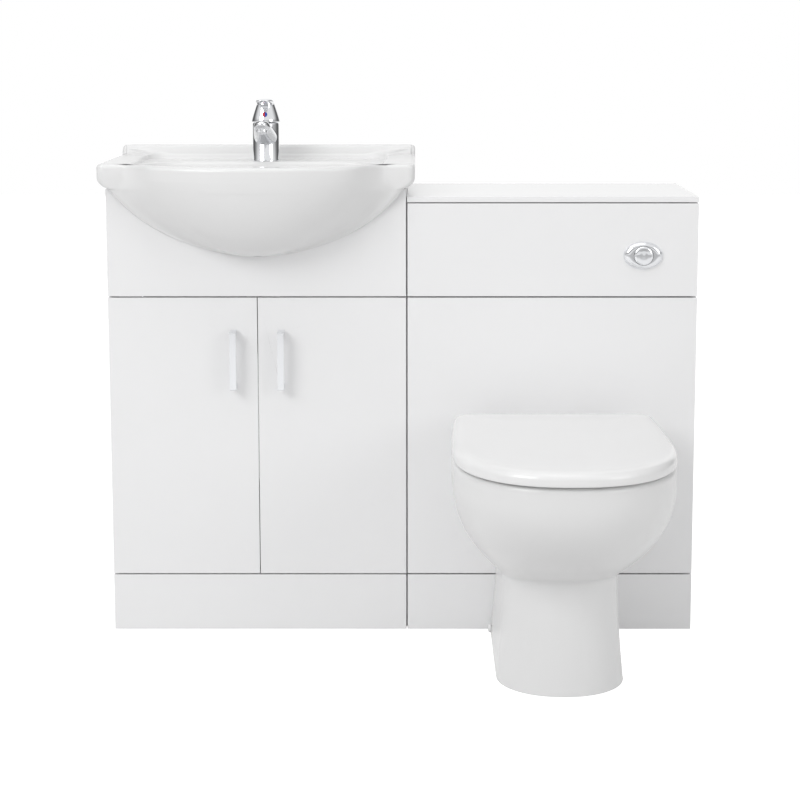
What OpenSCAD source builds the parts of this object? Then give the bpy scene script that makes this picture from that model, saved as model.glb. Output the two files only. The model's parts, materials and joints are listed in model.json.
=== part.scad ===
// Toilet and basin combination unit: a vanity cabinet with a semi-recessed basin and a mono mixer tap,
// joined side by side to a back-to-wall toilet unit with a concealed cistern.
// X runs to the right, Y towards the wall and Z up. The origin is on the floor, at the wall,
// midway along the two cabinets.

/* [Cabinets] */
// Width of the vanity cabinet
vanity_w = 515; // [505:1:525]
// Width of the toilet cabinet
toilet_w = 500; // [490:1:510]
// Depth from the wall to the face of the doors and panels
unit_d = 300; // [298:1:302]
// Height of the vanity cabinet, under the basin rim
vanity_h = 778; // [776:1:780]
// Height of the toilet cabinet, over its top board
toilet_h = 764; // [762:1:766]
// Height of the plinths
plinth_h = 100; // [98:1:102]
// Height of the line above the doors
door_line = 591; // [588:1:592]
// Thickness of doors, fascia and front panels
front_t = 16; // [16:1:17]
// Thickness of the carcass boards
board_t = 15; // [15:1:16]
// Thickness of the removable top board
top_t = 10; // [9:1:11]
// Gap between neighbouring fronts
front_gap = 2.5; // [2:0.5:3]

/* [Handles] */
// Length of a handle
handle_l = 102; // [98:1:106]
// Width and thickness of the handle's square bar
handle_bar = 11; // [10:0.5:12]
// How far a handle stands off its door
handle_out = 28; // [26:1:30]
// Distance from the gap between the doors to a handle
handle_inset = 41; // [39:1:45]
// Height of the handle's middle
handle_z = 483; // [470:1:490]

/* [Basin] */
// Width of the basin
basin_w = 541; // [539:1:543]
// How far the apron bows out past the cabinet at its middle
apron_out = 126; // [120:1:130]
// How far the corners of the basin stand past the cabinet
shoulder_out = 24; // [20:1:26]
// Height of the rim above the cabinet
rim_h = 43; // [42:1:44]
// Height of the splash upstand above the rim
upstand_h = 16; // [14:1:18]
// Depth of the tap ledge below the rim
ledge_drop = 9; // [8:1:10]
// How far the apron reaches below the cabinet top
apron_drop = 115; // [113:1:116]

/* [Tap] */
// Diameter of the tap body
tap_d = 48; // [47:1:49]
// Height of the tap body above the ledge
tap_h = 70; // [69:1:71]
// Distance from the wall to the tap
tap_y = 84; // [82:1:86]

/* [Pan and seat] */
// How far the pan stands out from the cabinet
pan_out = 500; // [490:1:505]
// Height of the pan rim
pan_h = 373; // [371:1:375]
// Width of the pan and of the lid
pan_w = 354; // [350:1:358]
// Width of the pan's foot
foot_w = 209; // [205:1:212]
// How far the foot stands out from the cabinet
foot_out = 350; // [345:1:355]

/* [Flushing] */
// Length of the oval flush plate
plate_w = 68; // [66:1:70]
// Height of the oval flush plate
plate_h = 48; // [46:1:50]
// Diameter of the push button
button_d = 33; // [32:0.5:34]
// Travel of the push button
button_travel = 7; // [5:1:8]

/* [Hidden] */

$fn = 48;
eps = 0.01;

// Colours
gloss_white = [0.93, 0.93, 0.93];
ceramic_white = [0.96, 0.96, 0.95];
chrome_grey = [0.78, 0.79, 0.80];
plastic_white = [0.90, 0.90, 0.89];
plastic_grey = [0.45, 0.46, 0.47];
rubber_black = [0.08, 0.08, 0.08];

// Places along X
unit_w = vanity_w + toilet_w;
vanity_x0 = -unit_w / 2;
joint_x = vanity_x0 + vanity_w;
toilet_x1 = joint_x + toilet_w;
vanity_x = vanity_x0 + vanity_w / 2;
toilet_x = joint_x + toilet_w / 2;

// Places along Y: out() turns a distance in front of the cabinet into a place
front_y = -unit_d;
function out(p) = front_y - p;
door_rest = 1;
carcass_d = unit_d - front_t - door_rest;
carcass_y = -carcass_d;

// Turns a quarter-turn's worth of roundness: 1 at the start and 0 at the end
function fall(t, power) = pow(max(0, 1 - pow(t, power)), 1 / power);
function mix(a, b, t) = a + (b - a) * t;
function ease(t) = let (u = min(1, max(0, t))) u * u * (3 - 2 * u);

// Joins rings of equal length into one closed skin. The first and the last ring are capped,
// unless the rings close on themselves. The caps start part of the way round, off the straight sides.
module loft(rings, closed = false) {
    n = len(rings[0]);
    m = len(rings);
    bands = closed ? m : m - 1;
    turn = round(0.6 * n);
    points = [for (ring = rings) for (p = ring) p];
    sides = [
        for (k = [0 : bands - 1]) for (i = [0 : n - 1])
        let (j = (i + 1) % n, a = k * n, b = ((k + 1) % m) * n)
        each [[a + i, b + i, b + j], [a + i, b + j, a + j]]
    ];
    caps = closed ? [] : [
        [for (i = [0 : n - 1]) (i + turn) % n],
        [for (i = [n - 1 : -1 : 0]) (m - 1) * n + (i + turn) % n]
    ];
    polyhedron(points = points, faces = concat(sides, caps), convexity = 8);
}

// A board between two corners
module board(low, high) {
    translate(low) cube(high - low);
}

// A round bar from one height to another
module post(d, z0, z1, x = 0, y = 0) {
    translate([x, y, z0]) cylinder(d = d, h = z1 - z0);
}

// ---- Vanity cabinet ----

rail_h = 90;
rail_top = vanity_h - 112;
basin_cut_w = 262;
basin_cut_z = vanity_h + 35;
basin_cut_drop = apron_drop + 38;

basin_cut_power = 1.75;

module side_panel(x0, height) {
    color(gloss_white)
    board([x0, carcass_y, 0], [x0 + board_t, 0, height]);
}

module vanity_side_left() side_panel(vanity_x0, vanity_h);
module vanity_side_right() side_panel(joint_x - board_t, vanity_h);

module vanity_base() {
    color(gloss_white)
    board([vanity_x0 + board_t, carcass_y, plinth_h], [joint_x - board_t, 0, plinth_h + board_t]);
}

module vanity_back_rails() {
    color(gloss_white)
    for (z = [plinth_h + board_t, rail_top - rail_h])
        board([vanity_x0 + board_t, -board_t, z], [joint_x - board_t, 0, z + rail_h]);
}

// A front between two places along X and two heights
module front(x0, x1, z0, z1) {
    board([x0, front_y, z0], [x1, front_y + front_t, z1]);
}

module vanity_fascia() {
    clearance = 2;
    steps = 44;
    reach = body_half + clearance;
    drop = basin_cut_drop - 3 + clearance;
    color(gloss_white)
    difference() {
        front(vanity_x0, joint_x - front_gap / 2, door_line + front_gap / 2, vanity_h - 1);
        translate([basin_x, 0, 0])
        rotate([90, 0, 0])
        linear_extrude(height = unit_d + 1)
        polygon(concat(
            [[reach, vanity_h + 20], [-reach, vanity_h + 20]],
            [
                for (i = [0 : steps])
                let (d = -cos(180 * i / steps))
                [d * reach, basin_cut_z - drop * fall(abs(d), basin_cut_power)]
            ]
        ));
    }
}

module vanity_plinth() {
    color(gloss_white)
    front(vanity_x0, joint_x - front_gap / 2, 0, plinth_h - front_gap / 2);
}

// ---- Doors with concealed hinges ----
// Places on a hinge are measured inwards from the door's outer edge, and from its back face
// towards the wall.

door_gap = 1.6;
door_z0 = plinth_h + front_gap / 2;
door_z1 = door_line - front_gap / 2;
door_back_y = front_y + front_t;
cup_d = 35;
cup_in = 22;
cup_deep = 12.5;
cup_wall = 1.5;
cup_floor = 1;
hinge_zs = [door_z0 + 85, door_z1 - 85];
cup_pivot = [9.5, -3];
link_bend = [17.5, -9];
arm_pivot = [28, 8];
hinge_pin_d = 3;
pin_play = 0.05;
link_w = 8;
link_t = 3;
arm_w = 14;

// Puts children at a hinge of the left door
module at_hinges() {
    for (z = hinge_zs)
        translate([vanity_x0, door_back_y, z]) children();
}

// Mirrors a left-hand piece to the right-hand door
module right_hand() {
    translate([vanity_x, 0, 0]) mirror([1, 0, 0]) translate([-vanity_x, 0, 0]) children();
}

module door() {
    color(gloss_white)
    difference() {
        front(vanity_x0, vanity_x - door_gap / 2, door_z0, door_z1);
        at_hinges()
            translate([cup_in, -cup_deep, 0]) rotate([-90, 0, 0]) cylinder(d = cup_d, h = cup_deep + 1);
        for (z = handle_leg_zs)
            translate([handle_x, front_y - 1, z])
                rotate([-90, 0, 0]) cylinder(d = screw_hole_d, h = front_t + 2);
    }
}

module door_left() door();
module door_right() {
    color(gloss_white)
    difference() {
        right_hand() door();
        front(joint_x - front_gap / 2, joint_x + 1, door_z0 - 1, door_z1 + 1);
    }
}

module hinge_cup() {
    ear_w = 10;
    ear_reach = 25;
    color(chrome_grey) {
        difference() {
            union() {
                translate([cup_in, -cup_deep, 0]) rotate([-90, 0, 0])
                    cylinder(d = cup_d, h = cup_deep);
                board([cup_in - ear_w / 2, 0, -ear_reach], [cup_in + ear_w / 2, 1.2, ear_reach]);
            }
            translate([cup_in, cup_floor - cup_deep, 0]) rotate([-90, 0, 0])
                cylinder(d = cup_d - 2 * cup_wall, h = cup_deep + 3);
            for (side = [-1, 1])
                translate([cup_in, -1, side * (ear_reach - 4)]) rotate([-90, 0, 0])
                    cylinder(d = 4, h = 4);
        }
        translate([cup_pivot.x, cup_pivot.y, -cup_pin_l / 2]) cylinder(d = hinge_pin_d, h = cup_pin_l);
    }
}

cup_pin_l = 20.5;

module hinge_cups_left() at_hinges() hinge_cup();
module hinge_cups_right() right_hand() hinge_cups_left();

// A flat bar with square ends between two points of a profile
module profile_bar(a, b, t) {
    d = b - a;
    n = [-d.y, d.x] * (t / 2 / norm(d));
    polygon([a + n, b + n, b - n, a - n]);
}

module hinge_link() {
    eye = 5.4;
    color(chrome_grey)
    translate([0, 0, -link_w / 2])
    difference() {
        linear_extrude(height = link_w) {
            translate(cup_pivot) circle(d = eye);
            translate(arm_pivot) circle(d = eye);
            translate(link_bend) circle(d = link_t);
            profile_bar(cup_pivot, link_bend, link_t);
            profile_bar(link_bend, arm_pivot, link_t);
        }
        for (p = [cup_pivot, arm_pivot])
            translate([p.x, p.y, -1]) cylinder(d = hinge_pin_d + 2 * pin_play, h = link_w + 2);
    }
}

module hinge_links_left() at_hinges() hinge_link();
module hinge_links_right() right_hand() hinge_links_left();

module hinge_arm() {
    plate_t = 4;
    plate_y0 = 28;
    plate_y1 = 64;
    plate_half = 25;
    arm_x = 23;
    slot = link_w + 0.8;
    color(chrome_grey) {
        difference() {
            translate([0, 0, -arm_w / 2])
            linear_extrude(height = arm_w) {
                translate(arm_pivot) circle(d = 7);
                profile_bar(arm_pivot, [arm_x, plate_y0], 5);
                translate([board_t + plate_t - eps, plate_y0]) square([8, plate_y1 - plate_y0]);
            }
            board([arm_pivot.x - 12, -4, -slot / 2], [arm_pivot.x + 8, 14, slot / 2]);
        }
        translate([arm_pivot.x, arm_pivot.y, -arm_w / 2]) cylinder(d = hinge_pin_d, h = arm_w);
        board([board_t, plate_y0, -arm_w / 2], [board_t + plate_t, plate_y1, arm_w / 2]);
        board([board_t, plate_y0 + 8, -plate_half], [board_t + 2.5, plate_y1 - 16, plate_half]);
    }
}

module hinge_arms() {
    at_hinges() hinge_arm();
    right_hand() at_hinges() hinge_arm();
}

// ---- Handles ----

handle_x = vanity_x - handle_inset;
leg_t = 9;
handle_leg_zs = [handle_z - handle_l / 2 + leg_t / 2, handle_z + handle_l / 2 - leg_t / 2];
screw_hole_d = 4.5;

module handle() {
    corner = 3;
    grip = handle_out - handle_bar + 2;
    color(chrome_grey)
    translate([handle_x - handle_bar / 2, 0, handle_z])
    rotate([90, 0, 90])
    linear_extrude(height = handle_bar)
    difference() {
        translate([out(handle_out), -handle_l / 2]) union() {
            translate([corner, 0]) square([handle_out - corner, handle_l]);
            translate([0, corner]) square([corner + eps, handle_l - 2 * corner]);
            translate([corner, corner]) circle(r = corner);
            translate([corner, handle_l - corner]) circle(r = corner);
        }
        translate([front_y - grip, leg_t - handle_l / 2]) square([grip + 1, handle_l - 2 * leg_t]);
    }
}

module handle_left() handle();
module handle_right() right_hand() handle();

// Pan-head screws from inside the door into the handle's legs
module handle_screws() {
    color(chrome_grey)
    for (z = handle_leg_zs)
        translate([handle_x, 0, z]) rotate([90, 0, 0]) {
            translate([0, 0, -door_back_y]) cylinder(d = 4, h = front_t - 0.2);
            translate([0, 0, -door_back_y - 2.4]) cylinder(d = 8, h = 2.4);
        }
}

module handle_screws_left() handle_screws();
module handle_screws_right() right_hand() handle_screws();

// ---- Basin ----
// The basin is lofted through closed rings, from the underside over the rim and down into the bowl.
// In a ring, half and half_back are the half-widths in front of the cabinet and inside it; back,
// shoulder and tip are distances from the wall; a power of 0 gives the bow-fronted plan.

basin_x = vanity_x + 1;
basin_half = basin_w / 2;
rim_z = vanity_h + rim_h;
ledge_z = rim_z - ledge_drop;
ledge_front = 118;
rim_edge = 7;
bowl_z = vanity_h - apron_drop + 23;
waste_q = 215;
waste_hole_d = 46;
bow_a = 198;
bow_join = 170;
bow_end = 226;
back_points = 24;
front_points = 40;
side_steps = [0, 0.035, 0.06, 0.18, 0.45, 0.8, 0.997];

// Plan of the bow front: 1 at the middle, an ellipse as far as bow_join, then a smooth run-out
function bow(d) =
    let (
        u = abs(d),
        edge = fall(bow_join / bow_a, 2),
        slope = -bow_join / (bow_a * bow_a * edge),
        span = bow_end - bow_join,
        t = (u - bow_join) / span
    )
    u <= bow_join ? fall(u / bow_a, 2)
    : u >= bow_end ? 0
    : (2 * t * t * t - 3 * t * t + 1) * edge + (t * t * t - 2 * t * t + t) * span * slope;

// How far a round corner pulls an edge back at a distance from the middle
function corner_pull(d, half, r) =
    let (over = abs(d) - (half - r))
    over <= 0 ? 0 : r - sqrt(max(0, r * r - over * over));

function plan(half, half_back, back, shoulder, tip, r_back, r_front, scale, power) =
    let (
        q0 = back + r_back,
        q1 = shoulder - r_front,
        last = len(side_steps) - 1
    )
    concat(
        [for (i = [0 : back_points - 1])
            let (d = half_back * cos(180 * i / back_points))
            [d, back + corner_pull(d, half_back, r_back)]],
        [for (f = side_steps) [-half_back, mix(q0, q1, f)]],
        [for (i = [0 : front_points - 1])
            let (
                d = -half * cos(180 * i / front_points),
                swell = power > 0 ? fall(min(1, abs(d) / half), power) : bow(d / scale)
            )
            [d, mix(shoulder, tip, swell) - corner_pull(d, half, r_front)]],
        [[half, q1]],
        [for (i = [last : -1 : 1]) [half_back, mix(q0, q1, side_steps[i])]]
    );

// A plan set at a height that may change with the distance from the wall
function level(outline, z) = [for (p = outline) [p.x, p.y, z]];
function upstand(q) = upstand_h * (1 - ease((q - 18) / 8));
function crowned(outline, z) = [for (p = outline) [p.x, p.y, z + upstand(p.y)]];

function rim_plan(inset, back, r_back) =
    plan(basin_half - inset, basin_half - inset, back, unit_d + shoulder_out - inset,
        unit_d + apron_out - inset, r_back, max(4, 12 - inset), 1, 0);

// Lower part of the rim, which runs on into the apron in front of the cabinet
skirt_step = 0.6;
function skirt_plan(inset, back, z) =
    plan(basin_half - inset, basin_half - inset, back, unit_d + lip_at(z) + skirt_step,
        unit_d + apron_out * reach_at(z) + skirt_step, 8, 12, spread_at(z), 0);
function recess_plan(grow, back) =
    plan(221 + grow, 221 + grow, back, unit_d - 30, unit_d + 88 + grow, 42, 1, 1, 2.3);
function bowl_plan(inset) =
    plan(213 - inset, 213 - inset, ledge_front + inset, unit_d - 20,
        unit_d + 80 - inset, 75, 1, 1, 2.3);

// Shares of the apron's width and of its reach that are left at a height, and the lip at its ends
function deep_at(z) = max(0, basin_cut_z - z) / basin_cut_drop;
function spread_at(z) = fall(deep_at(z), basin_cut_power);
function reach_at(z) = fall(deep_at(z), 2);
function lip_at(z) = 2 + (shoulder_out - 2) * pow(spread_at(z), 4);

// The body under the rim, at a height
function body_plan(z) =
    let (
        s = spread_at(z),
        s_back = fall((basin_cut_z - z) / (basin_cut_drop - 3), basin_cut_power),
        lip = lip_at(z)
    )
    plan(basin_cut_w * s, body_half * s_back, 165 - 59 * s, unit_d + lip,
        unit_d + apron_out * reach_at(z), 30 * s_back, min(12, lip - 1), s, 0);

body_half = 237;
body_depths = [0.965, 0.94, 0.9, 0.84, 0.76, 0.66, 0.54, 0.42, 0.32, 0.25];

// Rounded lower edge of the rim: [inset, back, height over the cabinet]
skirt_levels = [[19.5, 4, 0], [11, 2, 3.5], [5.5, 0.6, 8], [1.6, 0, 13], [0, 0, 18]];

// The bowl's rings run from its mouth to a circle round the waste
bowl_steps = [0.995, 0.97, 0.91, 0.82, 0.7, 0.5, 0.25, 0.12, 0];
function bowl_ring(f) = [
    for (p = bowl_plan(6))
    let (
        v = [p.x, p.y - waste_q],
        w = v * ((waste_hole_d / 2 - 2) / norm(v)),
        xy = w + (v - w) * f
    )
    [xy.x, waste_q + xy.y, bowl_z + (ledge_z - 8 - bowl_z) * (1 - fall(f, 2.2))]
];

// Underside of the waste boss under the bowl
boss_z = vanity_h - apron_drop - 12;

// A small round ring under the body, with a point towards each point of a plan
function round_ring(outline, r, z) = [
    for (p = outline)
    let (v = [p.x, p.y - unit_d - 1.5])
    [v.x * r / norm(v), unit_d + 1.5 + v.y * r / norm(v), z]
];

body_low = basin_cut_z - body_depths[0] * basin_cut_drop;

basin_rings = concat(
    [round_ring(body_plan(body_low), 12, body_low)],
    [for (k = body_depths) level(body_plan(basin_cut_z - k * basin_cut_drop),
        basin_cut_z - k * basin_cut_drop)],
    [level(body_plan(vanity_h), vanity_h)],
    [for (v = skirt_levels) level(skirt_plan(v[0], v[1], vanity_h + v[2]), vanity_h + v[2])],
    [
        crowned(rim_plan(0, 0, 8), rim_z - rim_edge),
        crowned(rim_plan(rim_edge * 0.13, 1, 8), rim_z - rim_edge / 2),
        crowned(rim_plan(rim_edge * 0.5, 3, 8), rim_z - rim_edge * 0.13),
        crowned(rim_plan(rim_edge, 7, 8), rim_z),
        crowned(rim_plan(rim_edge + 0.3, 14, 6), rim_z),
        crowned(rim_plan(rim_edge + 0.6, 22, 4), rim_z),
        level(recess_plan(1, 23), rim_z),
        [for (p = recess_plan(-2, 28))
            [p.x, p.y, mix(ledge_z, rim_z - 3, ease((p.y - 110) / 80))]],
        [for (p = bowl_plan(0)) [p.x, p.y, ledge_z]],
        level(bowl_plan(2), ledge_z - 2)
    ],
    [for (f = bowl_steps) bowl_ring(f)]
);

// Turns places measured from the wall into places in the model
function from_wall(r, x) = [for (p = r) [x + p.x, -p.y, p.z]];

module at_waste() {
    translate([basin_x, -waste_q, 0]) children();
}

module basin() {
    overflow_z = ledge_z - 32;
    color(ceramic_white)
    difference() {
        union() {
            loft([for (r = basin_rings) from_wall(r, basin_x)]);
            at_waste() post(78, boss_z, bowl_z - 4);
        }
        at_waste() post(waste_hole_d, boss_z - 1, ledge_z);
        translate([basin_x, -tap_y, 0]) post(tap_hole_d, vanity_h - 1, ledge_z + 5);
        translate([basin_x, -ledge_front - 24, overflow_z]) rotate([-90, 0, 0])
            cylinder(d = overflow_d, h = 32);
    }
}

overflow_d = 22;
tap_hole_d = 35;

// Chrome trim ring in the mouth of the overflow
module overflow_ring() {
    color(chrome_grey)
    translate([basin_x, -overflow_face, ledge_z - 32]) rotate([-90, 0, 0])
    rotate_extrude() {
        translate([overflow_d / 2 - 3, 0]) square([2.9, 9]);
        translate([overflow_d / 2 - 3, -1.5]) square([6, 1.5]);
        translate([overflow_d / 2, -1.5]) circle(d = 2);
    }
}

overflow_face = ledge_front + 13;

// ---- Waste and trap ----

waste_r = 21;
waste_bore_r = 18;
waste_top = bowl_z + 0.8;
tail_z = waste_top - 92;
spider_z = waste_top - 34;
plug_stem_r = 4;
trap_r = 30;
trap_wall = 3;
trap_top = tail_z + 12;
outlet_z = trap_top - 58;
outlet_r = 16;

module waste_body() {
    slot_z = boss_z + 8;
    color(chrome_grey)
    at_waste()
    difference() {
        union() {
            post(2 * waste_r, tail_z, waste_top + 1);
            translate([0, 0, waste_top]) rotate_extrude()
                polygon([[waste_bore_r, 0], [31, 0.5], [30, 1.6], [24, 2.6], [waste_bore_r, 1.4]]);
        }
        difference() {
            post(2 * waste_bore_r, tail_z - 1, waste_top + 5);
            post(15, spider_z, spider_z + 6);
            for (a = [0, 120, 240])
                rotate(a) board([0, -1.5, spider_z], [waste_bore_r + 1, 1.5, spider_z + 6]);
        }
        post(2 * (plug_stem_r + pin_play), spider_z - 1, spider_z + 7);
        for (a = [0 : 90 : 270])
            rotate(a + 45) board([waste_r - 6, -6, slot_z], [waste_r + 2, 6, slot_z + 9]);
    }
}

module waste_plug() {
    color(chrome_grey)
    at_waste()
    rotate_extrude() polygon([
        [0, spider_z - 12], [plug_stem_r, spider_z - 12], [plug_stem_r, waste_top - 8],
        [16.5, waste_top - 5], [16.5, waste_top - 1], [12, waste_top + 1], [12, waste_top + 3.4],
        [29, waste_top + 3.4], [30, waste_top + 4.4], [29, waste_top + 5.6],
        [20, waste_top + 7.4], [10, waste_top + 8.3], [0, waste_top + 8.6]
    ]);
}

module waste_backnut() {
    color(plastic_grey)
    at_waste()
    difference() {
        union() {
            post(72, boss_z - 6, boss_z - 0.4);
            translate([0, 0, boss_z - 16]) cylinder(d = 64, h = 10.5, $fn = 6);
        }
        post(2 * waste_r + 0.4, boss_z - 17, boss_z + 1);
    }
}

module bottle_trap() {
    inner = trap_r - trap_wall;
    color(plastic_white)
    at_waste()
    difference() {
        union() {
            rotate_extrude() polygon([
                [0, outlet_z - 34], [trap_r, outlet_z - 34], [trap_r, outlet_z + 26],
                [27, outlet_z + 30], [27, trap_top - 18], [32, trap_top - 18],
                [32, trap_top], [0, trap_top]
            ]);
            translate([0, 0, outlet_z]) rotate([-90, 0, 0]) cylinder(r = outlet_r + 5, h = 52);
        }
        post(2 * waste_r + 0.4, tail_z - 1, trap_top + 1);
        post(2 * waste_bore_r, outlet_z - 10, tail_z);
        post(2 * inner, outlet_z - 35, outlet_z + 22);
        translate([0, 0, outlet_z]) rotate([-90, 0, 0]) cylinder(r = outlet_r - 0.2, h = 53);
    }
}

module trap_cup() {
    top = outlet_z - 34.3;
    color(plastic_white)
    at_waste()
    difference() {
        rotate_extrude() polygon([
            [0, top - 34], [22, top - 34], [28, top - 28], [31, top - 12],
            [34, top - 12], [34, top], [0, top]
        ]);
        rotate_extrude() polygon([
            [0, top - 31], [21, top - 31], [25, top - 27], [27, top + 1], [0, top + 1]
        ]);
        for (a = [0 : 30 : 330])
            rotate(a) translate([35, 0, top - 13]) cylinder(d = 4, h = 14, $fn = 16);
    }
}

// Outlet pipe, with a narrower end inside the trap
module trap_outlet() {
    start = waste_q - 27;
    stated = 160;
    color(plastic_white)
    translate([basin_x, -start, outlet_z]) rotate([-90, 0, 0])
    difference() {
        union() {
            cylinder(r = outlet_r - 0.4, h = start);
            translate([0, 0, start - stated]) cylinder(r = outlet_r, h = stated);
        }
        translate([0, 0, -1]) cylinder(r = outlet_r - 2, h = start + 2);
    }
}

// ---- Tap ----
// Heights are measured from the ledge, and r from the tap's axis towards the room.

tap_r = tap_d / 2;
cartridge_r = 17.5;
cartridge_top = tap_h - 3;
lever_pivot_z = tap_h + 2;
lever_skirt_z = tap_h + 0.7;
lift_clear = 22;
spindle_r = 4.5;
cross_pin_r = 2;
spout_reach = 104;
aerator_r = 90;
aerator_tilt = 8;

module at_tap() {
    translate([basin_x, -tap_y, ledge_z]) children();
}

// A rounded section across the spout or the lever, r towards the room
function section(r, z, w, h, power, n = 28) = [
    for (i = [0 : n - 1])
    let (
        a = 360 * i / n,
        c = cos(a),
        s = sin(a)
    )
    [w / 2 * sign(c) * pow(abs(c), 2 / power), -r, z + h / 2 * sign(s) * pow(abs(s), 2 / power)]
];

// Spout sections: r, middle height, width, height
function spout_at(t) =
    let (
        r = mix(6, spout_reach, t),
        end = fall(max(0, (t - 0.8) / 0.2), 2)
    )
    section(r, mix(42, 69, t), mix(43, 27, t) * max(0.12, end), mix(36, 23, t) * max(0.12, end), 2.4);

spout_steps = [0, 0.25, 0.5, 0.7, 0.8, 0.87, 0.93, 0.97, 0.99, 1];

module tap_body() {
    color(chrome_grey)
    at_tap()
    difference() {
        union() {
            rotate_extrude() polygon([
                [0, 0], [tap_r + 0.8, 0], [tap_r + 0.8, 1.5], [tap_r, 3],
                [tap_r, tap_h - 4], [tap_r - 1.2, tap_h - 1], [tap_r - 2.6, tap_h], [0, tap_h]
            ]);
            loft([for (t = spout_steps) spout_at(t)]);
        }
        post(2 * (cartridge_r + 0.2), tap_h - 33, tap_h + 1);
        translate([0, -aerator_r, 66]) rotate([-aerator_tilt, 0, 0])
            translate([0, 0, -20]) cylinder(d = 21, h = 18);
        post(8, -1, 12);
        for (side = [-1, 1]) post(9, -1, 15, side * 8, 8);
    }
}

module tap_cartridge() {
    color(plastic_grey)
    at_tap()
    difference() {
        union() {
            post(2 * cartridge_r, tap_h - 32.8, cartridge_top - 4);
            post(2 * cartridge_r - 6, cartridge_top - 5, cartridge_top);
        }
        post(2 * (spindle_r + pin_play), cartridge_top - 14, cartridge_top + 1);
    }
}

module tap_spindle() {
    color(chrome_grey)
    at_tap() {
        post(2 * spindle_r, cartridge_top - 13.5, lever_pivot_z + 3.5);
        translate([-10.5, 0, lever_pivot_z]) rotate([0, 90, 0]) cylinder(r = cross_pin_r, h = 21);
    }
}

// Lever blade sections, rising towards the room
function blade_at(t) =
    let (end = fall(max(0, (t - 0.85) / 0.15), 2))
    section(mix(2, 64, t), mix(32, 40, t) + tap_h, mix(30, 25, t) * max(0.3, end),
        mix(14, 6, ease(t * 2)) * max(0.2, end), 3, 24);

module tap_lever() {
    cap_h = 41;
    color(chrome_grey)
    at_tap()
    difference() {
        union() {
            translate([0, 0, lever_skirt_z]) rotate_extrude() polygon([
                [0, 0], [25.2, 0], [25.5, 1], [24.6, 5], [22.6, 12], [20, 20], [17.2, 28],
                [14.6, 35], [12.6, 38.6], [9, 40.4], [4, cap_h], [0, cap_h]
            ]);
            loft([for (t = [0, 0.3, 0.6, 0.85, 0.92, 0.97, 1]) blade_at(t)]);
        }
        difference() {
            translate([0, 0, lever_pivot_z]) sphere(r = 20);
            for (side = [-1, 1])
                translate([side > 0 ? 6.5 : -10, 0, lever_pivot_z]) {
                    rotate([0, 90, 0]) cylinder(r = 4.5, h = 3.5);
                    board([0, -4.5, 0], [3.5, 4.5, 22]);
                }
        }
        translate([-11, 0, lever_pivot_z]) rotate([0, 90, 0])
            cylinder(r = cross_pin_r + pin_play, h = 22);
        translate([0, 0, lever_skirt_z]) rotate([lift_clear, 0, 0])
            translate([-30, 0, -40]) cube([60, 60, 40]);
    }
}

module tap_indicator() {
    color("red")
    at_tap()
    translate([0, -22.2, lever_skirt_z + 13.5]) rotate([90 - 18, 0, 0])
        cylinder(d = 9, h = 0.9);
}

module tap_aerator() {
    color(chrome_grey)
    at_tap()
    translate([0, -aerator_r, 66]) rotate([-aerator_tilt, 0, 0]) translate([0, 0, -13])
    difference() {
        cylinder(d = 20.6, h = 10.8);
        translate([0, 0, -1]) cylinder(d = 16, h = 5);
    }
}

// Threaded stud with a horseshoe clamp plate and a nut under the basin
module tap_fixing() {
    under = vanity_h - ledge_z;
    color(plastic_grey)
    at_tap() {
        post(7.8, under - 60, 11.5);
        difference() {
            post(42, under - 4.5, under - 0.3);
            post(8.4, under - 6, under + 1);
            translate([0, 13, under - 6]) linear_extrude(height = 8) square([24, 12], center = true);
        }
        difference() {
            translate([0, 0, under - 11.5]) cylinder(d = 15, h = 6.7, $fn = 6);
            post(8.2, under - 13, under - 4);
        }
    }
}

// ---- Toilet cabinet ----

body_top = toilet_h - top_t;
soil_z = 185;
soil_r = 51;
flush_in_z = 312;
flush_pipe_r = 22;
button_x = toilet_x + 156;
button_z = 663;
shroud_r = 20;
cistern_y = -82;
tank_half = 190;
tank_y0 = -145;
tank_y1 = -board_t - 0.4;
tank_z0 = 425;
tank_z1 = 690;
tank_wall = 4;
fill_x = toilet_x + 130;

module toilet_side_left() side_panel(joint_x, body_top);
module toilet_side_right() side_panel(toilet_x1 - board_t, body_top);

module toilet_rails() {
    x0 = joint_x + board_t;
    x1 = toilet_x1 - board_t;
    color(gloss_white) {
        for (span = [[430, 500], [body_top - rail_h, body_top]])
            board([x0, -board_t, span[0]], [x1, 0, span[1]]);
        for (z = [plinth_h - 16, door_line - 30])
            board([x0, carcass_y, z], [x1, carcass_y + board_t, z + (z > plinth_h ? 60 : 34)]);
    }
}

module toilet_top_board() {
    color(gloss_white)
    board([joint_x + 0.5, front_y, body_top + 0.4], [toilet_x1, 0, toilet_h]);
}

module toilet_front(z0, z1) {
    color(gloss_white) front(joint_x + front_gap / 2, toilet_x1, z0, z1);
}

module through_front(x, z, r) {
    translate([x, front_y - 1, z]) rotate([-90, 0, 0]) cylinder(r = r, h = front_t + 2);
}

module toilet_upper_panel() {
    difference() {
        toilet_front(door_line + front_gap / 2, body_top - 1.4);
        through_front(button_x, button_z, shroud_r + 0.5);
    }
}

module toilet_lower_panel() {
    difference() {
        toilet_front(plinth_h + front_gap / 2, door_line - front_gap / 2);
        through_front(toilet_x, soil_z, soil_r + 9);
        through_front(toilet_x, flush_in_z, flush_pipe_r + 10);
    }
}

module toilet_plinth() toilet_front(0, plinth_h - front_gap / 2);

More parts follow.
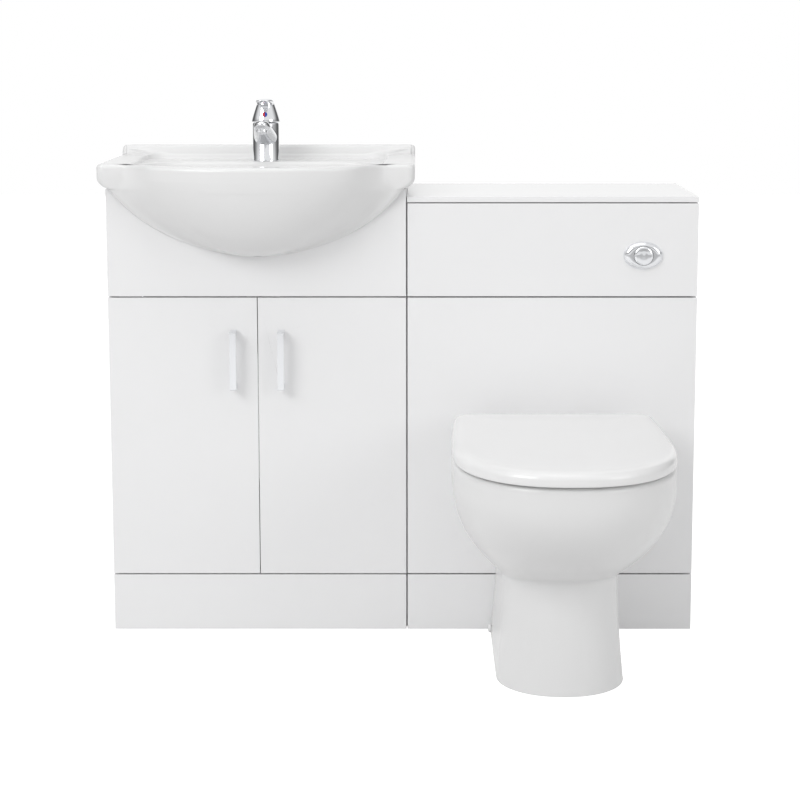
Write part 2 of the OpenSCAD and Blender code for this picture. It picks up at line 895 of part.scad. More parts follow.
// L-shaped brackets that fix both cabinets to the wall
module wall_brackets() {
    leg = 30;
    wide = 24;
    thick = 2;
    hole_d = 5.5;
    color(chrome_grey)
    for (place = [
        [vanity_x0 + board_t, 1], [joint_x - board_t, -1],
        [joint_x + board_t, 1], [toilet_x1 - board_t, -1]
    ])
        translate([place[0], 0, bracket_z]) mirror([place[1] < 0 ? 1 : 0, 0, 0])
        difference() {
            union() {
                board([0, -thick, 0], [leg, 0, wide]);
                board([0, -leg, 0], [thick, 0, wide]);
            }
            translate([leg / 2 + 4, -thick - 1, wide / 2]) rotate([-90, 0, 0])
                cylinder(d = hole_d, h = thick + 2);
            translate([-1, -leg / 2 - 4, wide / 2]) rotate([0, 90, 0])
                cylinder(d = 4, h = thick + 2);
        }
}

bracket_z = 510;

// ---- Concealed cistern ----

module rounded_block(x, half, y0, y1, z0, z1, r) {
    translate([x, 0, z0])
    linear_extrude(height = z1 - z0) {
        translate([-half + r, y0]) square([2 * (half - r), y1 - y0]);
        translate([-half, y0 + r]) square([2 * half, y1 - y0 - 2 * r]);
        for (cx = [-half + r, half - r], cy = [y0 + r, y1 - r]) translate([cx, cy]) circle(r = r);
    }
}

module cistern_tank() {
    color(plastic_white)
    difference() {
        union() {
            rounded_block(toilet_x, tank_half, tank_y0, tank_y1, tank_z0, tank_z1, 8);
            for (x = [-120, 0, 120])
                rounded_block(toilet_x + x, 8, tank_y0 - 2.5, tank_y0 + 6, tank_z0 + 20, tank_z1 - 20, 3);
        }
        rounded_block(toilet_x, tank_half - tank_wall, tank_y0 + tank_wall, tank_y1 - tank_wall,
            tank_z0 + tank_wall, tank_z1 + 1, 5);
        translate([toilet_x, cistern_y, 0]) post(2 * valve_r + 0.4, tank_z0 - 1, tank_z0 + 6);
        translate([fill_x, cistern_y, 0]) post(2 * fill_r + 0.4, tank_z0 - 1, tank_z0 + 6);
    }
}

module cistern_cover() {
    color(plastic_white)
    difference() {
        rounded_block(toilet_x, tank_half + 4, tank_y0 - 4, tank_y1, tank_z1 - 10, tank_z1 + 5, 10);
        rounded_block(toilet_x, tank_half + 0.4, tank_y0 - 0.4, tank_y1 + 5, tank_z1 - 11, tank_z1 + 0.4, 8);
    }
}

fill_r = 10.4;
float_low_z = tank_z0 + 62;
float_travel = 70;

module fill_valve() {
    color(plastic_grey)
    translate([fill_x, cistern_y, 0]) {
        difference() {
            union() {
                post(2 * fill_r, tank_z0 - 40, tank_z0 - 13);
                post(2 * fill_r - 0.4, tank_z0 - 14, tank_z0 + 12);
            }
            post(14, tank_z0 - 41, tank_z0);
        }
        post(36, tank_z0 + tank_wall + 0.3, tank_z0 + 12);
        post(22, tank_z0 + 11.9, tank_z1 - 34);
        post(44, tank_z1 - 34.1, tank_z1 - 8);
        difference() {
            translate([0, 0, tank_z0 - 12]) cylinder(d = 34, h = 11.6, $fn = 6);
            post(2 * fill_r + 0.2, tank_z0 - 13, tank_z0);
        }
    }
}

module cistern_float() {
    color(plastic_white)
    translate([fill_x, cistern_y, 0])
    difference() {
        rotate_extrude() polygon([
            [11.08, float_low_z], [27, float_low_z], [30, float_low_z + 6],
            [30, float_low_z + 46], [27, float_low_z + 50], [11.08, float_low_z + 50]
        ]);
        difference() {
            post(54, float_low_z - 1, float_low_z + 42);
            post(28, float_low_z - 2, float_low_z + 43);
        }
    }
}

valve_r = 31;
seal_z = tank_z0 + 18;
seal_lift = 20;
overflow_r = 15;
cage_r = 44;
cage_top = tank_z0 + 110;

module flush_valve() {
    color(plastic_white)
    translate([toilet_x, cistern_y, 0]) {
        difference() {
            union() {
                post(2 * valve_r, tank_z0 - 45, seal_z - 0.4);
                post(2 * cage_r, tank_z0 + tank_wall + 0.3, tank_z0 + 12);
                post(2 * cage_r, cage_top, cage_top + 8);
                for (a = [45 : 90 : 315])
                    rotate(a) board([cage_r - 7, -5, tank_z0 + 11], [cage_r - 1, 5, cage_top + 1]);
            }
            post(2 * valve_r - 10, tank_z0 - 46, seal_z + 1);
            post(2 * (overflow_r + pin_play), cage_top - 1, cage_top + 9);
        }
        difference() {
            post(84, tank_z0 - 14, tank_z0 - 0.4);
            post(2 * valve_r + 0.2, tank_z0 - 15, tank_z0);
        }
    }
}

// Sealing washer on its overflow tube, lifted by the push button
module flush_seal() {
    color(rubber_black)
    translate([toilet_x, cistern_y, 0])
    difference() {
        union() {
            post(2 * overflow_r, seal_z, tank_z1 - 35);
            post(66, seal_z, seal_z + 4);
            post(44, seal_z + 3.9, seal_z + 16);
        }
        post(2 * overflow_r - 4, seal_z - 1, tank_z1);
    }
}

module flush_pipe() {
    bend = 50;
    top = tank_z0 - 45.4;
    reach = out(22);
    color(plastic_white)
    difference() {
        union() {
            translate([toilet_x, cistern_y, 0]) {
                post(2 * flush_pipe_r, flush_in_z + bend, top);
                post(2 * valve_r + 12, top - 16, top + 24);
            }
            pipe_bend(bend, flush_pipe_r);
            translate([toilet_x, cistern_y - bend, flush_in_z]) rotate([90, 0, 0])
                cylinder(r = flush_pipe_r, h = cistern_y - bend - reach);
        }
        translate([toilet_x, cistern_y, 0]) {
            post(2 * flush_pipe_r - 4, flush_in_z + bend, top + 1);
            post(2 * valve_r + 0.4, top, top + 25);
        }
        pipe_bend(bend, flush_pipe_r - 2);
        translate([toilet_x, cistern_y - bend, flush_in_z]) rotate([90, 0, 0])
            cylinder(r = flush_pipe_r - 2, h = cistern_y - bend - reach + 1);
    }
}

module pipe_bend(bend, r) {
    translate([toilet_x, cistern_y - bend, flush_in_z + bend]) rotate([0, 90, 0])
        rotate_extrude(angle = 90) translate([bend, 0]) circle(r = r);
}

// ---- Push button ----

plate_thick = 8;
button_proud = 3;

function oval(scale, y) = [
    for (i = [0 : 47])
    let (a = 360 * i / 48)
    [button_x + plate_w / 2 * scale * cos(a), y, button_z + plate_h / 2 * scale * sin(a)]
];

// Domed oval plate with a round mouth
module flush_plate() {
    color(chrome_grey)
    difference() {
        loft([
            for (t = [0, 0.15, 0.35, 0.55, 0.75, 0.9, 1])
            oval(mix(1, 0.6, t), front_y - plate_thick * sin(90 * fall(1 - t, 1.4)))
        ]);
        translate([button_x, front_y - plate_thick - 1, button_z]) rotate([-90, 0, 0])
            cylinder(d = button_d + 0.8, h = plate_thick + 2);
    }
}

module along_button(r, y0, y1) {
    translate([button_x, y0, button_z]) rotate([-90, 0, 0]) cylinder(r = r, h = y1 - y0);
}

module flush_button() {
    face = front_y - plate_thick - button_proud;
    color(chrome_grey)
    translate([button_x, face, button_z]) rotate([-90, 0, 0])
    rotate_extrude() polygon([
        [0, 0], [8, 0.2], [13, 0.7], [button_d / 2 - 1.2, 1.6], [button_d / 2 - 0.2, 2.6],
        [button_d / 2, 3.6], [button_d / 2, 16], [6, 16], [6, 38], [0, 38]
    ]);
}

module button_shroud() {
    inner = shroud_r - 3;
    rear = front_y + 50;
    color(plastic_white)
    difference() {
        along_button(shroud_r, front_y + 0.4, rear);
        along_button(inner, front_y, rear - 4);
    }
    color(plastic_white) along_button(3.5, rear - eps, rear + 14);
}

module shroud_nut() {
    color(plastic_grey)
    difference() {
        along_button(30, door_back_y + 0.3, door_back_y + 9);
        along_button(shroud_r + 0.2, door_back_y, door_back_y + 10);
        for (a = [0 : 45 : 315])
            translate([button_x, door_back_y, button_z]) rotate([-90, 0, 0]) rotate(a)
                translate([31, 0, -1]) cylinder(d = 7, h = 12, $fn = 24);
    }
}

// ---- Pan ----
// Plans of the pan and the seat are given as [distance from the middle, distance in front of the
// cabinet]. depth is the length of the rounded front.

seat_z = pan_h + 3;
pan_half = pan_w / 2;
pan_back = 1;
edge_steps = [0.2, 0.4, 0.6, 0.8];
nose_points = 34;
corner_points = 6;

function pan_plan(half, half_back, back, tip, depth, r, power) =
    let (side = tip - depth)
    concat(
        [for (i = [0 : corner_points])
            let (a = 90 * i / corner_points)
            [half_back - r + r * cos(a), back + r - r * sin(a)]],
        [for (i = [0 : corner_points])
            let (a = 90 * i / corner_points)
            [-half_back + r - r * sin(a), back + r - r * cos(a)]],
        [for (f = edge_steps) [-mix(half_back, half, ease(f)), mix(back + r, side, f)]],
        [for (i = [0 : nose_points])
            let (a = 180 * i / nose_points, c = -cos(a))
            [half * c, side + depth * fall(abs(c), power)]],
        [for (i = [len(edge_steps) - 1 : -1 : 0])
            let (f = edge_steps[i])
            [mix(half_back, half, ease(f)), mix(back + r, side, f)]]
    );

// Sets a plan at a height, in front of the toilet cabinet
function placed(outline, z) = [for (p = outline) [toilet_x + p.x, out(p.y), z]];

// Pedestal: half-width and reach at a height
function pedestal_half(z) = foot_w / 2 - 1 - 9.4 * (1 - pow(1 - min(z, 170) / 170, 1.6));
function pedestal_tip(z) = foot_out + 1 - 27 * (1 - pow(1 - min(z, 170) / 170, 1.5));

// Bowl: how much of the rim's size is left at a height
bowl_top = pan_h - 28;
bowl_tall = 175;
function bowl_share(z) = fall(min(1, max(0, bowl_top - z) / bowl_tall), 2.1);

// The larger of two sizes, with a rounded change from one to the other
function smooth_max(a, b, blend) =
    let (h = max(0, 1 - abs(a - b) / blend))
    max(a, b) + h * h * blend / 4;

// The skin swells out of the pedestal into the bowl. Its rings dip towards the cabinet.
skin_blend = 46;
skin_levels = [0, 5, 25, 60, 100, 135, 156, 168, 176, 183, 190, 198, 208, 222, 240, 262, 288, 316,
    bowl_top];
function dip(z, p) = 45 * (1 - p / 330) * (z < 180 ? z / 180 : ease((bowl_top - z) / (bowl_top - 180)));
function skin_ring(z) =
    let (
        s = bowl_share(z),
        half = smooth_max(pedestal_half(z), pan_half * s, skin_blend),
        half_back = smooth_max(pedestal_half(z), pan_half * 0.9 * s, skin_blend),
        tip = smooth_max(pedestal_tip(z), 228 + (pan_out - 228) * s, skin_blend)
    )
    [for (p = pan_plan(half, half_back, pan_back, tip, half * mix(0.99, 1.25, s), 5, mix(2.12, 2.35, s)))
        [toilet_x + p.x, out(p.y), z - dip(z, p.y)]];
function rim_ring(inset, z) =
    placed(pan_plan(pan_half - inset, (pan_half - inset) * 0.9, pan_back + inset * 0.6,
        pan_out - inset, (pan_half - inset) * 1.25, 6, 2.35), z);

// Inside of the bowl, from the sump up to the mouth: [height, half-width, back, tip]
inside_levels = [
    [150, 38, 150, 240], [156, 48, 138, 256], [170, 56, 130, 276], [200, 74, 122, 322],
    [240, 101, 114, 384], [285, 121, 108, 427], [330, 131, 105, 448], [pan_h - 8, 134, 104, 454],
    [pan_h - 3, 136, 102, 456], [pan_h + 1, 141, 97, 461]
];
function inside_ring(v) =
    placed(pan_plan(v[1], v[1] * 0.93, v[2], v[3], v[1] * 1.1, v[1] * 0.75, 2.1), v[0]);

cap_p = 30;
cap_z = 11;
inlet_cone_r = 27.5;

module along_out(x, z, r, p0, p1) {
    translate([x, out(p0), z]) rotate([90, 0, 0]) cylinder(r = r, h = p1 - p0);
}

module pan() {
    color(ceramic_white)
    difference() {
        union() {
            loft(concat(
                [for (z = skin_levels) skin_ring(z)],
                [rim_ring(0, pan_h - 9), rim_ring(1, pan_h - 4.5), rim_ring(3.5, pan_h - 1.2),
                    rim_ring(8, pan_h)]
            ));
            along_out(toilet_x, soil_z, soil_r, -60, 20);
        }
        loft([for (v = inside_levels) inside_ring(v)]);
        loft([for (v = [[-1, 90, 312], [60, 86, 290], [118, 74, 270]])
            placed(pan_plan(v[1], v[1], 16, v[2], v[1], 6, 2.1), v[0])]);
        along_out(toilet_x, soil_z, soil_r - 8, -61, 10);
        along_out(toilet_x, soil_z + 14, 30, 0, 150);
        along_out(toilet_x, flush_in_z, inlet_cone_r + 0.2, 0, 24);
        along_out(toilet_x, flush_in_z, 18, 0, 130);
        for (side = [-1, 1]) at_cap(side) {
            cylinder(r = 3.1, h = 30);
            translate([0, 0, 18.4]) cylinder(r = 7.1, h = 10);
        }
        for (side = [-1, 1])
            translate([toilet_x + side * hinge_x, out(hinge_p), 0]) post(6.2, pan_h - 24, pan_h + 1);
    }
}

// Starts inside the pan wall, with the axis pointing out of its side
module at_cap(side) {
    translate([toilet_x + side * 83.5, out(cap_p), cap_z]) rotate([0, side * 90, 0]) children();
}

module pan_screw_caps() {
    color(plastic_white)
    for (side = [-1, 1]) at_cap(side) {
        cylinder(r = 3, h = 19);
        translate([0, 0, 18.5]) rotate_extrude() polygon([
            [0, 0], [7, 0], [7, 4.2], [6.6, 5.2], [5.6, 6], [3, 6.6], [0, 6.8]
        ]);
    }
}

// Floor brackets inside the pan
module pan_brackets() {
    color(chrome_grey)
    for (side = [-1, 1])
        translate([toilet_x, 0, 0]) mirror([side < 0 ? 1 : 0, 0, 0])
        difference() {
            union() {
                board([60, out(cap_p + 14), 0], [86, out(cap_p - 12), 3]);
                board([83, out(cap_p + 14), 0], [86, out(cap_p - 12), 24]);
            }
            translate([82, out(cap_p), cap_z]) rotate([0, 90, 0]) cylinder(r = 3.1, h = 5);
            translate([71, out(cap_p), -1]) cylinder(d = 6, h = 5);
        }
}

// Rubber cone that seals the flush pipe in the pan
module flush_cone() {
    color(rubber_black)
    difference() {
        union() {
            along_out(toilet_x, flush_in_z, inlet_cone_r, -4, 23.6);
            along_out(toilet_x, flush_in_z, inlet_cone_r + 3.5, -6, 0.6);
        }
        along_out(toilet_x, flush_in_z, flush_pipe_r + 0.2, -7, 24);
    }
}

// Push-fit connector between the pan's outlet and the soil pipe in the wall
module soil_connector() {
    socket_y = front_y + front_t + 6;
    color(plastic_white)
    difference() {
        union() {
            translate([toilet_x, socket_y, soil_z]) rotate([-90, 0, 0]) cylinder(r = 58, h = 46);
            translate([toilet_x, socket_y + 40, soil_z]) rotate([-90, 0, 0])
                cylinder(r = 55, h = -socket_y - 40);
        }
        translate([toilet_x, socket_y - 1, soil_z]) rotate([-90, 0, 0]) cylinder(r = soil_r, h = 41);
        translate([toilet_x, socket_y, soil_z]) rotate([-90, 0, 0])
            cylinder(r = 48, h = -socket_y + 1);
    }
}

// ---- Seat and lid ----

seat_back = 42;
seat_tip = pan_out + 6;
hinge_p = seat_back + 3;
hinge_z = pan_h + 11;
hinge_x = 78;
pin_r = 4;
knuckle_r = 7;
lid_top = seat_z + 23.5;

function seat_plan(inset) =
    pan_plan(pan_half - inset, 160 - inset, seat_back + inset, seat_tip - inset,
        225 - inset, max(8, 32 - inset), 2.35);
function seat_level(inset, z) = placed(seat_plan(inset), z);
function mouth_level(grow, z) =
    placed(pan_plan(108 + grow, 100 + grow, 138 - grow, 428 + grow, 128 + grow, 78 + grow, 2), z);

module at_pin(x0, x1, r) {
    for (side = [-1, 1])
        translate([toilet_x + side * (x0 + x1) / 2, out(hinge_p), hinge_z]) rotate([0, 90, 0])
            cylinder(r = r, h = x1 - x0, center = true);
}

module beside(x0, x1, p0, p1, z0, z1) {
    for (side = [-1, 1])
        translate([toilet_x, 0, 0]) mirror([side < 0 ? 1 : 0, 0, 0])
            board([x0, out(p1), z0], [x1, out(p0), z1]);
}

module seat_lid() {
    color(plastic_white)
    difference() {
        union() {
            difference() {
                loft([
                    seat_level(0.8, seat_z), seat_level(0, seat_z + 1.5), seat_level(0, seat_z + 9),
                    seat_level(0.9, seat_z + 13), seat_level(3, seat_z + 16.6),
                    seat_level(6.4, seat_z + 19.4), seat_level(11.5, seat_z + 21.2),
                    seat_level(20, seat_z + 22.3), seat_level(50, seat_z + 23.1),
                    seat_level(90, lid_top)
                ]);
                loft([
                    seat_level(4, seat_z - 1), seat_level(4, seat_z + 14),
                    seat_level(7, seat_z + 17), seat_level(16, seat_z + 18)
                ]);
                beside(hinge_x - 22, hinge_x + 22, 38, hinge_p + 10, seat_z - 1, hinge_z + 7.6);
            }
            at_pin(60.3, 71.7, knuckle_r);
            beside(60.3, 71.7, hinge_p - 4, hinge_p + 7, hinge_z, seat_z + 19.5);
        }
        at_pin(59, 73, pin_r + pin_play);
    }
}

module seat_ring() {
    back = hinge_p + 11;
    color(plastic_white)
    difference() {
        union() {
            difference() {
                loft(closed = true, [
                    seat_level(10, seat_z), seat_level(7.4, seat_z + 2), seat_level(7, seat_z + 6),
                    seat_level(8, seat_z + 10), seat_level(12, seat_z + 12.6),
                    seat_level(20, seat_z + 13.6), mouth_level(22, seat_z + 12.4),
                    mouth_level(8, seat_z + 9), mouth_level(1.5, seat_z + 5),
                    mouth_level(0, seat_z + 2), mouth_level(3, seat_z)
                ]);
                beside(-hinge_x - 30, hinge_x + 30, 30, back, seat_z - 1, seat_z + 20);
            }
            at_pin(84.3, 95.7, knuckle_r);
            beside(84.3, 95.7, hinge_p, back + 12, seat_z + 1, seat_z + 10);
        }
        at_pin(83, 97, pin_r + pin_play);
    }
}

// Posts on the pan deck, each with the pin that the seat and the lid turn on
module seat_hinge_posts() {
    color(chrome_grey) {
        beside(72, 84, hinge_p - knuckle_r, hinge_p + knuckle_r, pan_h + 0.3, hinge_z);
        at_pin(72, 84, knuckle_r);
        at_pin(60, 96, pin_r);
        for (side = [-1, 1])
            translate([toilet_x + side * hinge_x, out(hinge_p), 0]) post(6, pan_h - 22, pan_h + 1);
    }
}

module seat_buffers() {
    color(plastic_grey)
    for (side = [-1, 1], place = [[146, 130], [112, 420]])
        translate([toilet_x + side * place[0], out(place[1]), 0])
            post(16, pan_h + 0.4, seat_z - 0.02);
}

vanity_side_left();
vanity_side_right();
vanity_base();
vanity_back_rails();
vanity_fascia();
vanity_plinth();
door_left();
door_right();
handle_left();
handle_right();
handle_screws_left();
handle_screws_right();
hinge_cups_left();
hinge_cups_right();
hinge_links_left();
hinge_links_right();
hinge_arms();
wall_brackets();
basin();
overflow_ring();
waste_body();
waste_plug();
waste_backnut();
bottle_trap();
trap_cup();
trap_outlet();
tap_body();
tap_cartridge();
tap_lever();
tap_indicator();
tap_aerator();
tap_spindle();
tap_fixing();
toilet_side_left();
toilet_side_right();
toilet_rails();
toilet_top_board();
toilet_upper_panel();
toilet_lower_panel();
toilet_plinth();
cistern_tank();
cistern_cover();
fill_valve();
cistern_float();
flush_valve();
flush_seal();
flush_pipe();
flush_plate();
flush_button();
button_shroud();
shroud_nut();
pan();
soil_connector();
flush_cone();
pan_brackets();
pan_screw_caps();
seat_ring();
seat_lid();
seat_hinge_posts();
seat_buffers();
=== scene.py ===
"""Looks of the toilet and basin combination unit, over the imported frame. Metres throughout."""

import json
import math

import bpy
import bmesh
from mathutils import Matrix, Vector


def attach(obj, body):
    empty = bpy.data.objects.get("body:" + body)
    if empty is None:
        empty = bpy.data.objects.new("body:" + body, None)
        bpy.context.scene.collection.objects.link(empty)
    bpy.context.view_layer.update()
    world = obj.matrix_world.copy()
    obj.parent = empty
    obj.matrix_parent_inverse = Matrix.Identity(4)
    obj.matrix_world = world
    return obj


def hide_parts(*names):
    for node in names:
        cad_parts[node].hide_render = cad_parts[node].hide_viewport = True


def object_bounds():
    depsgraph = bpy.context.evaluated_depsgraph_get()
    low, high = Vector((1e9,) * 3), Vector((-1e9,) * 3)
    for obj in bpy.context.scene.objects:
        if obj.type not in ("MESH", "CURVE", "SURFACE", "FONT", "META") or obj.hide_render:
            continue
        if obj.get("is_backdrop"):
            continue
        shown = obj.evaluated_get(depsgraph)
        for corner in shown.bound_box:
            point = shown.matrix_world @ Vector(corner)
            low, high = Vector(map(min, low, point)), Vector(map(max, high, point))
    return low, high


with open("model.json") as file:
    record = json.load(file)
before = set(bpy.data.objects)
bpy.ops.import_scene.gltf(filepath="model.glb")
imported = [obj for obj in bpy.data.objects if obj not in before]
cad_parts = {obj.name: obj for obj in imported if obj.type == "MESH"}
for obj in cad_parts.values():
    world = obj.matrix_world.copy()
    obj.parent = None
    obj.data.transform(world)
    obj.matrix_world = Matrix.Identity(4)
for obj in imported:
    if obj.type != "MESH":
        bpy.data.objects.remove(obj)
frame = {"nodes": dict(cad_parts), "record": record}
NODES = frame["nodes"]


def plain(value):
    """Vectors and tuples as plain lists."""
    if isinstance(value, dict):
        return {k: plain(v) for k, v in value.items()}
    if isinstance(value, (list, tuple, Vector)):
        return [plain(v) for v in value]
    return value


sizes = {"frame": plain(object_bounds())}

FRONT = -0.300
PAN_X = 0.2575
BASIN_X = -0.249


# ---- Materials ----


def new_material(name):
    m = bpy.data.materials.new(name)
    m.use_nodes = True
    nt = m.node_tree
    shader = nt.nodes["Principled BSDF"]
    return m, nt, shader


def maths(nt, operation, *values):
    """Output of a Math node. A value is a number or another node's output."""
    node = nt.nodes.new("ShaderNodeMath")
    node.operation = operation
    for socket, value in zip(node.inputs, values):
        if isinstance(value, (int, float)):
            socket.default_value = value
        else:
            nt.links.new(value, socket)
    return node.outputs["Value"]


def ranged(nt, value, low, high, to_low=0.0, to_high=1.0):
    """Output of a Map Range node."""
    node = nt.nodes.new("ShaderNodeMapRange")
    node.inputs["From Min"].default_value = low
    node.inputs["From Max"].default_value = high
    node.inputs["To Min"].default_value = to_low
    node.inputs["To Max"].default_value = to_high
    nt.links.new(value, node.inputs["Value"])
    return node.outputs["Result"]


def place(nt, source, axis):
    """Output of one axis of a texture coordinate."""
    coords = nt.nodes.new("ShaderNodeTexCoord")
    split = nt.nodes.new("ShaderNodeSeparateXYZ")
    nt.links.new(coords.outputs[source], split.inputs["Vector"])
    return split.outputs[axis]


def blended(nt, amount, first, second):
    """Output of a Mix Shader node."""
    node = nt.nodes.new("ShaderNodeMixShader")
    nt.links.new(amount, node.inputs["Fac"])
    nt.links.new(first, node.inputs[1])
    nt.links.new(second, node.inputs[2])
    return node.outputs["Shader"]


def noise_bump(nt, shader, scale, strength, distance):
    """A fine unevenness on the surface."""
    coords = nt.nodes.new("ShaderNodeTexCoord")
    noise = nt.nodes.new("ShaderNodeTexNoise")
    noise.inputs["Scale"].default_value = scale
    noise.inputs["Detail"].default_value = 2.0
    bump = nt.nodes.new("ShaderNodeBump")
    bump.inputs["Strength"].default_value = strength
    bump.inputs["Distance"].default_value = distance
    nt.links.new(coords.outputs["Object"], noise.inputs["Vector"])
    nt.links.new(noise.outputs["Fac"], bump.inputs["Height"])
    nt.links.new(bump.outputs["Normal"], shader.inputs["Normal"])


def varied_roughness(nt, shader, low, high, scale):
    """Roughness that changes a little over the surface."""
    coords = nt.nodes.new("ShaderNodeTexCoord")
    noise = nt.nodes.new("ShaderNodeTexNoise")
    noise.inputs["Scale"].default_value = scale
    nt.links.new(coords.outputs["Object"], noise.inputs["Vector"])
    nt.links.new(ranged(nt, noise.outputs["Fac"], 0, 1, low, high), shader.inputs["Roughness"])


def surface(name, color, roughness, metallic=0.0, coat=0.0, bump=None, vary=None):
    """bump is (scale, strength, distance) and vary is (low, high, scale)."""
    m, nt, s = new_material(name)
    s.inputs["Base Color"].default_value = (*color, 1)
    s.inputs["Roughness"].default_value = roughness
    s.inputs["Metallic"].default_value = metallic
    s.inputs["Coat Weight"].default_value = coat
    s.inputs["Coat Roughness"].default_value = 0.04
    if bump:
        noise_bump(nt, s, *bump)
    if vary:
        varied_roughness(nt, s, *vary)
    return m


board_white = surface("board_white", (0.885, 0.885, 0.89), 0.2, coat=0.25, bump=(9.0, 0.05, 0.0006))
glaze = surface("glaze", (0.815, 0.815, 0.815), 0.26, coat=0.1, bump=(14.0, 0.03, 0.0006))
seat_white = surface("seat_white", (0.86, 0.86, 0.86), 0.16, coat=0.2, bump=(11.0, 0.04, 0.0005))
chrome = surface("chrome", (0.82, 0.83, 0.85), 0.06, metallic=1.0, vary=(0.04, 0.09, 40.0))
nickel = surface("nickel", (0.62, 0.62, 0.62), 0.3, metallic=1.0, bump=(400.0, 0.08, 0.0001))
pipe_white = surface("pipe_white", (0.80, 0.80, 0.78), 0.4, bump=(250.0, 0.06, 0.0001))
grey_plastic = surface("grey_plastic", (0.15, 0.155, 0.16), 0.45, bump=(300.0, 0.08, 0.0001))
black_rubber = surface("black_rubber", (0.012, 0.012, 0.012), 0.6, bump=(350.0, 0.12, 0.0001))


def indicator():
    """Red on the left half and blue on the right half."""
    m, nt, s = new_material("indicator")
    halves = nt.nodes.new("ShaderNodeMix")
    halves.data_type = "RGBA"
    halves.inputs["A"].default_value = (0.62, 0.02, 0.02, 1)
    halves.inputs["B"].default_value = (0.02, 0.08, 0.45, 1)
    nt.links.new(maths(nt, "GREATER_THAN", place(nt, "Object", "X"), BASIN_X), halves.inputs["Factor"])
    nt.links.new(halves.outputs["Result"], s.inputs["Base Color"])
    s.inputs["Roughness"].default_value = 0.2
    return m


SLOT_MATERIALS = {
    "gloss_board": board_white,
    "ceramic": glaze,
    "chrome_plate": chrome,
    "plated_steel": nickel,
    "white_plastic": seat_white,
    "pipe_plastic": pipe_white,
    "grey_plastic": grey_plastic,
    "black_rubber": black_rubber,
    "indicator_red": indicator(),
}
SLOT_OF = {p["node"]: p["material_slot"] for p in frame["record"]["subparts"]}


def paint(obj, material):
    obj.data.materials.clear()
    obj.data.materials.append(material)


def bevel(obj, width):
    mod = obj.modifiers.new("edges", "BEVEL")
    mod.width = width
    mod.segments = 3
    mod.limit_method = "ANGLE"
    mod.angle_limit = math.radians(40)
    mod.harden_normals = False


for name, obj in NODES.items():
    paint(obj, SLOT_MATERIALS[SLOT_OF[name]])


# ---- Shapes, in millimetres, as in the construction ----


def fall(t, power):
    return max(0.0, 1 - max(0.0, t) ** power) ** (1 / power)


def mix(a, b, t):
    return a + (b - a) * t


def ease(t):
    u = min(1.0, max(0.0, t))
    return u * u * (3 - 2 * u)


def cosd(a):
    return math.cos(math.radians(a))


def sind(a):
    return math.sin(math.radians(a))


def between(rows, steps):
    """Rows of numbers with smooth in-between rows (Catmull-Rom)."""
    out = []
    for k in range(len(rows) - 1):
        p0, p1, p2, p3 = rows[max(k - 1, 0)], rows[k], rows[k + 1], rows[min(k + 2, len(rows) - 1)]
        for s in range(steps):
            t = s / steps
            out.append([
                0.5 * (2 * b + (c - a) * t + (2 * a - 5 * b + 4 * c - d) * t * t
                       + (3 * b - a - 3 * c + d) * t**3)
                for a, b, c, d in zip(p0, p1, p2, p3)
            ])
    out.append(list(rows[-1]))
    return out


def mesh_object(name, points, faces, smooth_angle=None):
    """A smooth-shaded mesh from points in millimetres."""
    mesh = bpy.data.meshes.new(name)
    mesh.from_pydata([[c / 1000 for c in p] for p in points], [], faces)
    mesh.update()
    bm = bmesh.new()
    bm.from_mesh(mesh)
    bmesh.ops.remove_doubles(bm, verts=bm.verts, dist=2e-6)
    bmesh.ops.recalc_face_normals(bm, faces=bm.faces)
    bm.to_mesh(mesh)
    bm.free()
    mesh.shade_smooth()
    obj = bpy.data.objects.new(name, mesh)
    bpy.context.scene.collection.objects.link(obj)
    if smooth_angle:
        mesh.set_sharp_from_angle(angle=math.radians(smooth_angle))
    return obj


def loft(rings, cap_first=True, cap_last=True, closed=False):
    """Points and faces of a skin through rings of equal length."""
    n, m = len(rings[0]), len(rings)
    points = [p for ring in rings for p in ring]
    faces = []
    for k in range(m if closed else m - 1):
        a, b = k * n, ((k + 1) % m) * n
        for i in range(n):
            j = (i + 1) % n
            faces.append((a + i, a + j, b + j, b + i))
    if not closed:
        if cap_first:
            faces.append(tuple(range(n - 1, -1, -1)))
        if cap_last:
            faces.append(tuple((m - 1) * n + i for i in range(n)))
    return points, faces


def joined(parts):
    """Several skins as one list of points and faces."""
    points, faces = [], []
    for p, f in parts:
        base = len(points)
        points += p
        faces += [tuple(base + i for i in face) for face in f]
    return points, faces


def tube_profile(profile, center, axis="z", steps=96):
    """A profile of (radius, place along the axis) turned about an axis through center."""
    rings = []
    for r, h in profile:
        ring = []
        for i in range(steps):
            a = 360 * i / steps
            u, v = r * cosd(a), r * sind(a)
            offset = {"x": (h, u, v), "y": (v, h, u), "z": (u, v, h)}[axis]
            ring.append([center[k] + offset[k] for k in range(3)])
        rings.append(ring)
    return rings


def stand_in(obj, node, body, material):
    """Shows a shape in place of a CAD node, on that node's body."""
    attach(obj, body)
    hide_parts(node)
    paint(obj, material)


# ---- Basin ----
# In a plan, x is the distance from the middle and q the distance from the wall.

